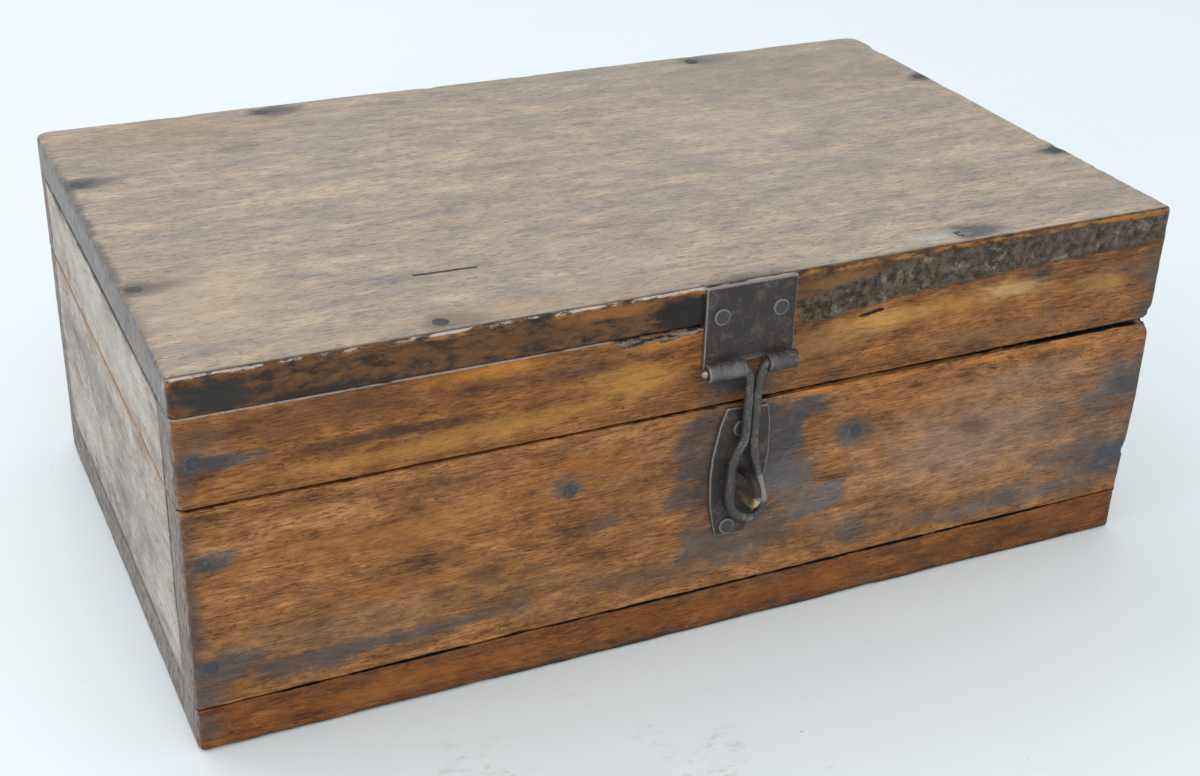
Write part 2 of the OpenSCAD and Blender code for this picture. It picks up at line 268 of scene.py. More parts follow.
def box_grid(xs: Array, ys: Array, zs: Array) -> Shape:
    """Make a closed box: six grids over the given lines, joined along its edges.

    Args:
        xs: the grid lines along X.
        ys: the grid lines along Y.
        zs: the grid lines along Z.

    Returns:
        The box.
    """
    axes = [xs, ys, zs]
    points, quads, count = [], [], 0
    for axis in range(3):
        u, v = (axis + 1) % 3, (axis + 2) % 3
        a, b = np.meshgrid(axes[u], axes[v], indexing="ij")
        for end, flip in ((-1, False), (0, True)):
            p = np.zeros(a.shape + (3,))
            p[..., u], p[..., v], p[..., axis] = a, b, axes[axis][end]
            q = grid_quads(*a.shape)
            points.append(p.reshape(-1, 3))
            quads.append((q[:, ::-1] if flip else q) + count)
            count += a.size
    merged, index = np.unique(np.round(np.concatenate(points), 4), axis=0, return_inverse=True)
    return Shape(merged, index.ravel()[np.concatenate(quads)][:, ::-1])


@dataclass(frozen=True)
class Dent:
    """A place where wood is missing: depth mm at its centre, fading out over its radii."""

    centre: Triple
    radii: Triple
    depth: float

    def at(self, points: Array) -> Array:
        """Return how deep the dent is at each point."""
        d = np.linalg.norm((points - np.array(self.centre)) / np.array(self.radii), axis=1)
        return self.depth * (1 - smooth(0.35, 1.0, d))


@dataclass
class OuterForm:
    """The worn block that all outer faces lie on.

    Its corner radii in plan are given by the signs of X and Y, and lean is how far its
    lower right side falls inwards.
    """

    corners: dict[Pair, float]
    lean: float = 0.0
    chip_up: float = 0.9
    chip_down: float = 0.3

    def clamp(self, p: Array, low: float, high: float, low_r: float, high_r: float) -> Array:
        """Bring points that lie outside the rounded block onto it.

        In plan the block is a rectangle with round corners; the distance inside it and the
        distance from its upper and lower faces then give a quarter circle along each edge,
        whose radius wanders where the wood is chipped.

        Args:
            p: the points.
            low: the height of the block's lower face.
            high: the height of its upper face.
            low_r: the radius of the lower edges.
            high_r: the radius of the upper edges.

        Returns:
            The points, moved.
        """
        p = p.copy()
        radius = np.select(
            [(p[:, 0] * sx >= 0) & (p[:, 1] * sy >= 0) for sx, sy in self.corners],
            list(self.corners.values()),
        )
        fall = self.lean * (1 - smooth(4, 50, p[:, 2])) * smooth(60, 150, p[:, 0])
        half = np.stack([WIDTH / 2 - fall, np.full(len(p), DEPTH / 2)], 1)
        sign = np.where(p[:, :2] < 0, -1.0, 1.0)
        q = np.abs(p[:, :2]) - (half - radius[:, None])
        outside = np.maximum(q, 0)
        reach = np.linalg.norm(outside, axis=1)
        inner = np.minimum(q.max(1), 0)
        depth = radius - reach - inner
        widest = (q == q.max(1, keepdims=True)).astype(float)
        normal = np.where(reach[:, None] > 1e-6, outside / np.maximum(reach, 1e-6)[:, None], widest)
        normal = normal * sign
        out = np.minimum(depth, 0)
        p[:, :2] += normal * out[:, None]
        depth = np.maximum(depth, 0)
        wander = noise(p, (17, 17, 40), 5)
        chips = smooth(0.62, 0.9, noise(p, (5, 5, 9), 9))
        for level, side, r0 in ((high, 1, high_r), (low, -1, low_r)):
            r = r0 * (0.55 + 0.75 * wander) + (self.chip_up if side > 0 else self.chip_down) * r0 * chips
            a = r - depth
            b = r - (level - p[:, 2]) * side
            over = (a > 0) & (b > 0)
            span = np.hypot(a, b)
            scale = np.where(over & (span > r), r / np.maximum(span, 1e-6), 1.0)
            p[:, :2] -= normal * (a * (1 - scale))[:, None] * over[:, None]
            p[:, 2] -= side * b * (1 - scale) * over
        return p


@dataclass
class Board:
    """One board: a box of grid lines, worn round and rough on the sides that show."""

    node: str
    low: Triple
    high: Triple
    body: str
    grain: Grain = Grain.ALONG_X
    form: OuterForm | None = None
    edge: Pair = (0.4, 0.4)
    levels: Pair = (0.0, TOP)
    dents: tuple[Dent, ...] = ()
    relief: float = 0.16
    arris: float = 0.45
    sealed: bool = False

    def shape(self) -> Shape:
        """Round the board's own edges, clamp it to the block, then sink its skin.

        A point within the radius r of an edge moves to core + r * d / |d|, where core is the
        nearest place that lies r inside the board and d leads from there to the point. The
        joint between lid_top and lid_front is filled right of the hasp.

        Returns:
            The worn board.
        """
        steps = [3.0, 1.2, 1.2] if self.grain is Grain.ALONG_X else [1.2, 3.0, 1.2]
        lines = [ticks(a, b, s) for a, b, s in zip(self.low, self.high, steps)]
        shape = box_grid(*lines)
        p = shape.points
        low, high = np.array(self.low), np.array(self.high)
        r = self.arris * (0.6 + 0.9 * noise(p, (15, 15, 15), 4)[:, None])
        at_joint = (np.abs(p[:, 2] - TOP_UNDER) < 2) & (p[:, 1] < FRONT + 3)
        filled = smooth(16, 24, p[:, 0]) * at_joint * self.sealed
        r = r * (1 - filled[:, None]) + 0.001
        core = np.clip(p, low + r, high - r)
        d = p - core
        length = np.linalg.norm(d, axis=1, keepdims=True)
        p = np.where(length > r, core + d * r / np.maximum(length, 1e-9), p)
        if self.form:
            p = self.form.clamp(p, *self.levels, *self.edge)
        normals = vertex_normals(p, shape.quads)
        normals = np.where(filled[:, None] > 0.01, (0.0, -1.0, 0.0), normals)
        long, wide = (38.0, 2.6) if self.grain is Grain.ALONG_X else (2.6, 38.0)
        streak = noise(p, (long, wide, 2.6), 1)
        plane_marks = noise(p, (70, 70, 26), 2)
        sink = 0.06 + self.relief * streak + 0.22 * plane_marks
        for dent in self.dents:
            sink = sink + dent.at(p) * (0.6 + 0.8 * noise(p, (2.2, 2.2, 2.2), 3))
        shape.points = p - normals * sink[:, None]
        return shape


def along(path: Array) -> Array:
    """Return unit tangents of a path by central differences."""
    t = np.gradient(path, axis=0)
    return t / np.linalg.norm(t, axis=1, keepdims=True)


def spline(points: Sequence[Triple], count: int) -> Array:
    """Spread points evenly by length on a Catmull-Rom curve.

    Args:
        points: the places that the curve passes through.
        count: how many points are returned.

    Returns:
        The points in order.
    """
    p = np.array(points, float)
    p = np.vstack([2 * p[0] - p[1], p, 2 * p[-1] - p[-2]])
    t = np.linspace(0, 1, 24, endpoint=False)[:, None]
    parts = []
    for a, b, c, d in zip(p[:-3], p[1:-2], p[2:-1], p[3:]):
        bend = (2 * a - 5 * b + 4 * c - d) * t**2 + (3 * b - a - 3 * c + d) * t**3
        parts.append(0.5 * (2 * b + (c - a) * t + bend))
    curve = np.vstack(parts + [p[-2:-1]])
    length = np.r_[0, np.cumsum(np.linalg.norm(np.diff(curve, axis=0), axis=1))]
    even = np.linspace(0, length[-1], count)
    return np.stack([np.interp(even, length, curve[:, n]) for n in range(3)], 1)


def wire(path: Array, radius: Array, across: Triple, wear: Array | None = None, seed: int = 0) -> Shape:
    """Make a round bar along a path, with domed ends and a slightly beaten skin.

    Each ring is a circle in the plane across the path. Its first axis is the path's
    direction crossed with a fixed direction, and its second is square to both.

    Args:
        path: the middle line.
        radius: the radius at each point of the path.
        across: a direction that the path never runs along.
        wear: how bright the bar is painted at each point of the path: partly rubbed metal and partly painted
            highlight.
        seed: which beaten skin is used.

    Returns:
        The bar.
    """
    t = along(path)
    ref = np.cross(t, across)
    ref /= np.linalg.norm(ref, axis=1, keepdims=True)
    other = np.cross(t, ref)
    dome = np.array([0.05, 0.6, 0.88])
    ends = np.sqrt(1 - dome**2)
    start = path[0] - t[0] * radius[0] * ends[:, None]
    finish = path[-1] + t[-1] * radius[-1] * ends[::-1, None]
    path = np.vstack([start, path, finish])
    ref = np.vstack([ref[:1].repeat(3, 0), ref, ref[-1:].repeat(3, 0)])
    other = np.vstack([other[:1].repeat(3, 0), other, other[-1:].repeat(3, 0)])
    radius = np.r_[radius[0] * dome, radius, radius[-1] * dome[::-1]]
    angle = np.linspace(0, 2 * np.pi, WIRE_SIDES, endpoint=False)
    ring = np.cos(angle)[:, None] * ref[:, None] + np.sin(angle)[:, None] * other[:, None]
    points = path[:, None] + ring * radius[:, None, None]
    beaten = noise(points.reshape(-1, 3), (3.2, 3.2, 3.2), 20 + seed).reshape(points.shape[:2])
    points = points - ring * (radius[:, None] * 0.09 * beaten)[..., None]
    if wear is not None:
        wear = np.repeat(np.r_[wear[:1].repeat(3), wear, wear[-1:].repeat(3)], WIRE_SIDES)
    return Shape(points.reshape(-1, 3), grid_quads(len(path), WIRE_SIDES, closed=True), wear)


def table(places: Array, pairs: Sequence[Pair]) -> Array:
    """Read values off a table of (place, value) pairs, with straight lines between them."""
    return np.interp(places, *np.transpose(pairs))


@dataclass(frozen=True)
class Nail:
    """A nail: the middle of its head's outer face, and the way its point goes."""

    place: Triple
    inward: Triple
    rim: float = NAIL_RIM
    shank: float = 1.1
    point: float = 0.25

    def shape(self, head: float, length: float, seed: int) -> Shape:
        """Turn a profile of (radius, depth) about the nail's axis, and beat its head uneven.

        The rims of the heads are painted bright, the thin heads on sheet iron most: partly rubbed metal and
        partly a painted highlight.

        Args:
            head: the thickness of the head.
            length: the length from the head's outer face to the point.
            seed: which uneven head is used.

        Returns:
            The nail.
        """
        axis = np.array(self.inward, float)
        side = np.cross(axis, (0.2, 0.9, 0.4))
        side /= np.linalg.norm(side)
        up = np.cross(axis, side)
        rim = self.rim
        profile = np.array([
            (0.02, 0.05), (0.9, 0.0), (1.7, 0.03), (rim - 0.55, 0.08), (rim - 0.25, 0.16), (rim, 0.36),
            (rim, head), (self.shank, head + 0.05), (self.shank, length - 3),
            (self.point, length), (0.02, length),
        ])
        angle = np.linspace(0, 2 * np.pi, NAIL_SIDES, endpoint=False)
        out = np.cos(angle)[:, None] * side + np.sin(angle)[:, None] * up
        points = profile[:, None, 1:] * axis + profile[:, None, :1] * out
        points = points + np.array(self.place)
        flat = points.reshape(-1, 3)
        lump = noise(flat, (1.9, 1.9, 1.9), seed).reshape(points.shape[:2])
        on_head = (profile[:, 1] <= head + 0.01)[:, None]
        points = points - out * (profile[:, :1] * 0.1 * lump * on_head)[..., None]
        points = points + axis * (0.2 * lump * on_head)[..., None]
        wear = np.zeros(points.shape[:2])
        wear[3:5] = 1.0 if head < 0.7 else 0.55
        return Shape(points.reshape(-1, 3), grid_quads(len(profile), len(angle), closed=True), wear.ravel())


@dataclass
class Sheet:
    """Sheet iron: a middle surface of points with a mask of kept quads and a thickness."""

    points: Array
    keep: Array
    thickness: float = SHEET

    def shape(self, seed: int = 0) -> Shape:
        """Make both faces, half a thickness to each side, with a wall along each open edge.

        Args:
            seed: which unevenness of the outer face is used.

        Returns:
            The closed sheet.
        """
        rows, columns = self.points.shape[:2]
        flat = self.points.reshape(-1, 3)
        quads = grid_quads(rows, columns)[self.keep.ravel()]
        normals = vertex_normals(flat, grid_quads(rows, columns))
        bump = 0.14 * (noise(flat, (6, 6, 6), 40 + seed) - 0.5)
        bump = bump + 0.06 * (noise(flat, (2, 2, 2), 41 + seed) - 0.5)
        front = flat + normals * (self.thickness / 2 - 0.1 + bump)[:, None]
        rear = flat - normals * self.thickness / 2
        count = len(flat)
        edges = np.concatenate([quads[:, [n, (n + 1) % 4]] for n in range(4)])
        key = edges[:, 0] * count + edges[:, 1]
        back = edges[:, 1] * count + edges[:, 0]
        open_edges = edges[~np.isin(key, back)]
        first, second = open_edges.T
        walls = np.stack([second, first, first + count, second + count], 1)
        every = np.concatenate([quads, quads[:, ::-1] + count, walls])
        # The open edges are painted bright: partly rubbed metal and partly a painted highlight on the cut
        # edges.
        wear = np.zeros(2 * count)
        wear[np.unique(open_edges)] = 1
        wear[np.unique(open_edges) + count] = 1
        used, index = np.unique(every, return_inverse=True)
        return Shape(np.concatenate([front, rear])[used], index.reshape(-1, 4), wear[used])

    def build(self, name: str, finish: bpy.types.Material, seed: int, bevel: float) -> bpy.types.Object:
        """Build the sheet with its cut edges rounded.

        Args:
            name: the object's name.
            finish: its finish.
            seed: which unevenness its outer face has.
            bevel: the width of the rounding.

        Returns:
            The object.
        """
        piece = self.shape(seed).build(name, finish)
        rounding = piece.modifiers.new("worn_edges", "BEVEL")
        rounding.width, rounding.segments, rounding.angle_limit = bevel * MM, 2, math.radians(50)
        return piece


class Node:
    """A shader socket or a number, with arithmetic that adds Math nodes."""

    def __init__(self, shader: "Shader", value: bpy.types.NodeSocket | float) -> None:
        """Hold a value of the given shader."""
        self.shader = shader
        self.value = value

    def _math(self, operation: str, *others: "Node | float") -> "Node":
        """Add a Math node on this value and the others."""
        return self.shader.node("ShaderNodeMath", {"operation": operation}, (self, *others))

    def __add__(self, other: "Node | float") -> "Node":
        """Return self + other."""
        return self._math("ADD", other)

    __radd__ = __add__

    def __mul__(self, other: "Node | float") -> "Node":
        """Return self * other."""
        return self._math("MULTIPLY", other)

    __rmul__ = __mul__

    def __sub__(self, other: "Node | float") -> "Node":
        """Return self - other."""
        return self._math("SUBTRACT", other)

    def __rsub__(self, other: float) -> "Node":
        """Return other - self."""
        return self.shader.node("ShaderNodeMath", {"operation": "SUBTRACT"}, (other, self))

    def __abs__(self) -> "Node":
        """Return the absolute value."""
        return self._math("ABSOLUTE")

    def higher(self, other: "Node | float") -> "Node":
        """Return the larger of the two."""
        return self._math("MAXIMUM", other)

    def lower(self, other: "Node | float") -> "Node":
        """Return the smaller of the two."""
        return self._math("MINIMUM", other)

    def step(self, low: float, high: float) -> "Node":
        """Return a smooth step from 0 at low to 1 at high."""
        settings = {"interpolation_type": "SMOOTHSTEP"}
        return self.shader.node("ShaderNodeMapRange", settings, (self, low, high, 0.0, 1.0))


class Shader:
    """A material's node tree, with short ways to add nodes to it."""

    def __init__(self, name: str) -> None:
        """Start a material with a Principled shader, and read the object's coordinates in mm.

        Args:
            name: the material's name.
        """
        self.material = bpy.data.materials.new(name)
        self.material.use_nodes = True
        self.tree = self.material.node_tree
        self.surface = self.tree.nodes["Principled BSDF"]
        self.place = self.node("ShaderNodeTexCoord", {}, (), "Object")
        self.mm = self.vector("SCALE", self.place, scale=1 / MM)

    def put(self, socket: bpy.types.NodeSocket, value: "Node | float | Sequence[float]") -> None:
        """Link a node to a socket, or set the socket to a plain value.

        Args:
            socket: the socket that is fed.
            value: a node, a number, or the parts of a colour or vector.
        """
        if isinstance(value, Node):
            self.tree.links.new(value.value, socket)
        elif isinstance(value, (int, float)):
            socket.default_value = value
        else:
            wanted = len(socket.default_value)
            socket.default_value = (tuple(value) + (1.0,))[:wanted]

    def node(self, kind: str, settings: dict, inputs: Sequence | dict, output: str | int = 0) -> Node:
        """Add a node of any type.

        Args:
            kind: the node's type name.
            settings: attributes that are set before the inputs.
            inputs: values for the first sockets in order, or for sockets by name or number.
            output: the output that is returned.

        Returns:
            The chosen output.
        """
        made = self.tree.nodes.new(kind)
        for key, value in settings.items():
            setattr(made, key, value)
        pairs = inputs.items() if isinstance(inputs, dict) else enumerate(inputs)
        for key, value in pairs:
            self.put(made.inputs[key], value)
        return Node(self, made.outputs[output])

    def vector(
        self, operation: str, a: Node, b: Node | Triple | None = None, scale: Node | float | None = None
    ) -> Node:
        """Add a Vector Math node.

        Args:
            operation: what it does.
            a: the first vector or colour.
            b: the second, where the operation has one.
            scale: the number that SCALE multiplies by.

        Returns:
            The length where the operation is LENGTH, and otherwise the vector.
        """
        inputs = {key: value for key, value in {0: a, 1: b, "Scale": scale}.items() if value is not None}
        output = "Value" if operation == "LENGTH" else "Vector"
        return self.node("ShaderNodeVectorMath", {"operation": operation}, inputs, output)

    def noise(
        self, at: Node, sizes: Triple, detail: float = 3.0, rough: float = 0.55, seed: float = 0.0
    ) -> Node:
        """Add a noise.

        Args:
            at: where it is read, in mm.
            sizes: the size of a lump along X, Y and Z in mm.
            detail: how many finer layers it has.
            rough: how strong each finer layer is.
            seed: which part of the noise is used.

        Returns:
            Values from 0 to 1.
        """
        moved = self.vector("ADD", at, (seed * 37.1, seed * 11.3, seed * 23.7))
        stretched = self.vector("DIVIDE", moved, sizes)
        inputs = {"Vector": stretched, "Scale": 1.0, "Detail": detail, "Roughness": rough}
        return self.node("ShaderNodeTexNoise", {}, inputs)

    def mix(self, amount: Node | float, a: Node | Colour, b: Node | Colour) -> Node:
        """Return colour a where amount is 0 and b where it is 1."""
        inputs = {0: amount, 6: a, 7: b}
        return self.node("ShaderNodeMix", {"data_type": "RGBA", "clamp_factor": True}, inputs, 2)

    def tint(self, colour: Node, amount: Node) -> Node:
        """Return the colour multiplied by a number."""
        return self.vector("SCALE", colour, scale=amount)

    def split(self, at: Node) -> list[Node]:
        """Return the x, y and z parts of a vector."""
        parts = self.node("ShaderNodeSeparateXYZ", {}, (at,)).value.node.outputs
        return [Node(self, part) for part in parts]

    def blot(
        self, at: Node, centre: Triple, radii: Triple, feather: Node | float, soft: float = 0.45
    ) -> Node:
        """Return a mask that is 1 inside an ellipsoid whose rim is shifted by feather."""
        d = self.vector("LENGTH", self.vector("DIVIDE", self.vector("SUBTRACT", at, centre), radii))
        return (1 - d + feather).step(0.0, soft)

    def finish(
        self, colour: Node, rough: Node | float, height: Node | None, bump: float, **fixed: float
    ) -> bpy.types.Material:
        """Feed the shader and return the material.

        Args:
            colour: the base colour.
            rough: the roughness.
            height: the relief in mm.
            bump: how strongly the relief shows.
            fixed: values of other sockets, with underscores for spaces.

        Returns:
            The material.
        """
        self.put(self.surface.inputs["Base Color"], colour)
        self.put(self.surface.inputs["Roughness"], rough)
        for key, value in fixed.items():
            self.surface.inputs[key.replace("_", " ")].default_value = value
        if height is not None:
            inputs = {"Height": height, "Strength": bump, "Distance": MM}
            self.put(self.surface.inputs["Normal"], self.node("ShaderNodeBump", {}, inputs, "Normal"))
        return self.material


@dataclass(frozen=True)
class Blot:
    """A stained or bright patch: its centre and radii in mm, its colour and its strength."""

    centre: Triple
    radii: Triple
    colour: Colour
    strength: float = 1.0
    ragged: float = 1.0
    soft: float = 0.75


IRON_BLUE: Colour = (0.058, 0.064, 0.074)
IRON_BROWN: Colour = (0.086, 0.073, 0.066)
STAIN: Colour = (0.13, 0.122, 0.12)
BLACK: Colour = (0.004, 0.0035, 0.003)
OCHRE: Colour = (0.38, 0.18, 0.042)
ORANGE: Colour = (0.46, 0.18, 0.03)
UMBER: Colour = (0.075, 0.036, 0.02)
MAROON: Colour = (0.15, 0.058, 0.026)


@dataclass(frozen=True)
class WoodFinish:
    """How a board looks: its fibre colours, its grime, and the blots on it."""

    name: str
    dark: Colour = (0.095, 0.038, 0.017)
    middle: Colour = (0.275, 0.11, 0.031)
    light: Colour = (0.43, 0.197, 0.063)
    grime: Colour = (0.095, 0.062, 0.045)
    grime_share: float = 0.4
    rough: Pair = (0.46, 0.66)
    sheen: float = 0.2
    contrast: float = 0.5
    grain: Grain = Grain.ALONG_X
    blots: tuple[Blot, ...] = ()
    seed: float = 0.0
    # the pale grey painted on the ends of long boards: painted sheen over the end grain
    end_grain_sheen: Colour = (0.3, 0.285, 0.275)
    extra: Callable[["Coat"], None] | None = None

    def stretched(self, long: float, wide: float) -> Triple:
        """Return lump sizes that are long along the fibres and wide across them."""
        return (long, wide, wide) if self.grain is Grain.ALONG_X else (wide, long, wide)

    def material(self) -> bpy.types.Material:
        """Build the finish.

        Broad bands, mottling and fine fibres choose between the three wood colours. Short
        dark pores lie along the fibres. Grime gathers in large clouds, the ends of a board
        are painted grey as a painted sheen, and each blot has a rim that is feathered along the fibres.

        Returns:
            The material.
        """
        s = Shader(self.name)
        drift = s.noise(s.mm, self.stretched(90, 22), 2, seed=self.seed + 1)
        bend = s.vector("SCALE", s.node("ShaderNodeCombineXYZ", {}, (drift, drift, drift)), scale=9.0)
        at = s.vector("ADD", s.mm, bend)
        bands = s.noise(at, self.stretched(90, 7), 4, 0.6, self.seed)
        fibres = s.noise(at, self.stretched(5.5, 0.42), 5, 0.72, self.seed + 2)
        threads = s.noise(at, self.stretched(12, 0.9), 4, 0.68, self.seed + 3)
        mottle = s.noise(at, self.stretched(15, 7), 5, 0.72, self.seed + 7)
        pores = s.noise(at, self.stretched(3.4, 0.36), 1, 0.5, self.seed + 4).step(0.6, 0.7)
        specks = s.noise(s.mm, self.stretched(1.6, 0.9), 2, 0.5, self.seed + 10).step(0.66, 0.74)
        cloud = s.noise(s.mm, (46, 46, 46), 5, 0.65, self.seed + 5)
        streaks = s.noise(at, self.stretched(12, 1.8), 5, 0.7, self.seed + 6) - 0.5
        lumps = s.noise(at, self.stretched(8, 6), 5, 0.72, self.seed + 8) - 0.5
        ragged = streaks * 0.55 + lumps * 0.95
        tone = bands * 0.22 + fibres * 0.29 + threads * 0.25 + mottle * 0.38
        colour = s.mix(tone.step(0.44, 0.57), self.dark, self.middle)
        colour = s.mix(tone.step(0.55, 0.7), colour, self.light)
        colour = s.mix(fibres.step(0.54, 0.7) * 0.4, colour, self.light)
        colour = s.mix((pores * 0.6).higher(specks * 0.7), colour, tuple(0.5 * v for v in self.dark))
        dirt = (cloud + ragged * 0.45).step(0.45, 0.72) * self.grime_share
        colour = s.mix(dirt, colour, self.grime)
        patchy = s.noise(at, self.stretched(6, 4), 5, 0.75, self.seed + 11).step(0.3, 0.52) * 0.4 + 0.6
        for blot in self.blots:
            feather = ragged * (1.3 * blot.ragged)
            mask = s.blot(s.mm, blot.centre, blot.radii, feather, blot.soft) * blot.strength
            colour = s.mix(mask * patchy, colour, blot.colour)
        shade = (fibres * 0.28 + mottle * 0.5 + threads * 0.22).step(0.36, 0.66)
        colour = s.tint(colour, shade * self.contrast + (1 - self.contrast / 2))
        # Painted sheen: the ends of a long board are painted pale grey, for the pale room that they reflect
        # at a grazing angle.
        if self.grain is Grain.ALONG_X:
            x = s.split(s.mm)[0]
            cut = s.noise(s.mm, (2, 1.4, 4), 5, 0.7, self.seed + 9)
            brown = s.noise(s.mm, (6, 11, 5), 4, 0.7, self.seed + 12).step(0.46, 0.6)
            grey = s.mix(cut.step(0.36, 0.6), (0.07, 0.06, 0.052), self.end_grain_sheen)
            grey = s.mix(brown * 0.6, grey, (0.22, 0.16, 0.115))
            end = (abs(x) + ragged * 0.8).step(WIDTH / 2 - 1.1, WIDTH / 2 - 0.4)
            colour = s.mix(end * 0.9, colour, grey)
        low, high = self.rough
        rough = (fibres * 0.6 + cloud * 0.4).step(0.3, 0.7) * (high - low) + low
        height = fibres * 0.2 + threads * 0.16 + lumps * 0.12 - pores * 0.16 - specks * 0.1
        coat = Coat(s, colour, height, ragged)
        if self.extra:
            self.extra(coat)
        return s.finish(coat.colour, rough, coat.height, 0.8, IOR=1.5, Specular_IOR_Level=self.sheen)


@dataclass
class Coat:
    """The colour and the relief of a board while its details are painted on.

    What is ragged makes the rims of the details uneven.
    """

    s: Shader
    colour: Node
    height: Node
    ragged: Node

    def cover(self, mask: Node, colour: Node | Colour) -> None:
        """Paint over the colour where the mask is 1."""
        self.colour = self.s.mix(mask, self.colour, colour)

    def crust(self) -> None:
        """Paint the crust of old filler on the front, right of the hasp.

        It lies between two heights that both rise to the right and then run level.
        """
        s, ragged = self.s, self.ragged
        x, y, z = s.split(s.mm)
        low = (x * 0.11 + 91.6).lower(x * 0.03 + 96.6)
        high = (x * 0.19 + 97.8).lower(TOP - 1.7)
        inside = (z - low + ragged * 5).step(-0.8, 0.9) * (high - z + ragged * 4).step(-0.8, 0.9)
        mask = inside * x.step(20.5, 24) * y.step(FRONT + 2.4, FRONT + 1.4)
        lumps = s.noise(s.mm, (2.6, 2.6, 2.6), 5, 0.75, 31)
        pale = s.noise(s.mm, (9, 9, 5), 4, 0.7, 32).step(0.52, 0.66)
        grey = s.mix(lumps.step(0.36, 0.62), (0.022, 0.016, 0.012), (0.135, 0.1, 0.068))
        grey = s.mix(pale * lumps.step(0.44, 0.6) * 0.7, grey, (0.3, 0.27, 0.22))
        self.cover(mask * 0.94, grey)
        self.height = self.height + mask * lumps * 1.6

    def gap_shade(self, middle: Node | float, half: Node | float) -> None:
        """Paint black along a joint on the front, and on the faces just inside it: painted shade for the open
        gap.

        Args:
            middle: its height.
            half: half its width.
        """
        _, y, z = self.s.split(self.s.mm)
        line = (abs(z - middle + self.ragged) - half).step(0.15, -0.15)
        self.cover(line * y.step(FRONT + 7, FRONT + 5), BLACK)

    def parting(self) -> None:
        """Paint the gap where the lid meets the lower part black, as painted shade: a hair's width left of
        the hasp.
        """
        x = self.s.split(self.s.mm)[0]
        half = x.step(-45, 20) * 0.36 + x.step(0, 140) * 0.3 + 0.28
        self.gap_shade(x.step(0, 140) * 0.2 + (PARTING + 0.1), half)

    def foot_seam(self) -> None:
        """Paint the joint above the bottom board black as painted shade, open in places and closed at both
        ends.
        """
        x = self.s.split(self.s.mm)[0]
        gap = self.s.noise(self.s.mm, (16, 6, 6), 3, 0.6, 68).step(0.34, 0.6) * 0.45 + 0.15
        self.gap_shade(BOTTOM_TOP + 0.1, gap - x.step(118, 135) * 0.3 - x.step(-134, -144) * 0.4)

    def both_seams(self) -> None:
        """Paint shade in the joints above and below the lower front board."""
        self.parting()
        self.foot_seam()

    def lid_edge(self) -> None:
        """Paint the top board: a brown front edge, a worn arris with a painted highlight on it, the crust,
        and a gash painted dark as its shade.

        The distance across the arris is w: it is zero on the arris, below zero on the front
        face and above zero on top.
        """
        s, ragged = self.s, self.ragged
        x, y, z = s.split(s.mm)
        w = z - TOP + y - FRONT
        lumps = s.noise(s.mm, (7, 5, 3), 5, 0.7, 61)
        brown = s.mix(lumps.step(0.36, 0.62), (0.022, 0.012, 0.007), (0.15, 0.06, 0.018))
        self.cover(y.step(FRONT + 2.4, FRONT + 1.0) * 0.98, brown)
        for blot in edge_blots():
            mask = s.blot(s.mm, blot.centre, blot.radii, ragged * 1.5, blot.soft)
            self.cover(mask * blot.strength, blot.colour)
        self.crust()
        chips = s.noise(s.mm, (11, 3, 3), 5, 0.75, 62)
        right = x.step(18, 24)
        band = abs(w + 0.6 + ragged * 3.4).step(1.2, 0.3)
        orange = band * (chips + right * 0.05).step(0.48, 0.58)
        self.cover(orange * 0.85, (0.4, 0.17, 0.04))
        # Painted highlight: a pale line along the arris, left of the hasp.
        shine = abs(w - 0.1 + ragged * 1.2).step(0.75, 0.3) * (1 - right) * chips.step(0.45, 0.56)
        self.cover(shine * 0.7, (0.6, 0.58, 0.58))
        # Painted shade: the gash across the top is painted near black, and sunk a little.
        line = abs(y + 58.5 + x * 0.05 + ragged * 1.4).step(0.75, 0.3)
        gash = line * (x + 77).step(0, 1.5) * (x + 57.5).step(0, -1.5) * z.step(TOP - 2, TOP - 1)
        self.cover(gash, (0.02, 0.016, 0.014))
        self.height = self.height - gash * 0.6

    def rim(self) -> None:
        """Paint the lid's front board: a painted highlight on its upper arris, a torn crack with painted
        shade in its opening, the crust, and painted shade in the parting gap.
        """
        self.crust()
        s, ragged = self.s, self.ragged
        x, y, z = s.split(s.mm)
        face = y.step(FRONT + 2.4, FRONT + 1.0)
        broken = s.noise(s.mm, (9, 3, 2), 4, 0.7, 67).step(0.34, 0.5)
        # Painted highlight: a pale broken line along the upper arris, on the left.
        line = abs(z - (TOP_UNDER - 0.25) + ragged * 0.4).step(0.38, 0.14)
        self.cover(line * x.step(-30, -38) * face * broken * 0.75, (0.42, 0.39, 0.36))
        inside = x.step(-34, -30) * x.step(-6, -8)
        torn = (z - 97.2 + ragged * 7).step(-0.6, 0.6) * inside * face
        splinters = s.noise(s.mm, (5, 2, 1), 4, 0.7, 66)
        self.cover(torn, s.mix(splinters.step(0.4, 0.6), (0.02, 0.016, 0.012), (0.26, 0.22, 0.18)))
        # Painted shade: the opening of the crack above the torn wood is painted near black.
        hole = (z - 98.9 + ragged * 5).step(-0.3, 0.5) * inside * face
        self.cover(hole, (0.006, 0.005, 0.005))
        self.parting()
        self.height = self.height - torn * 0.8 + torn * splinters


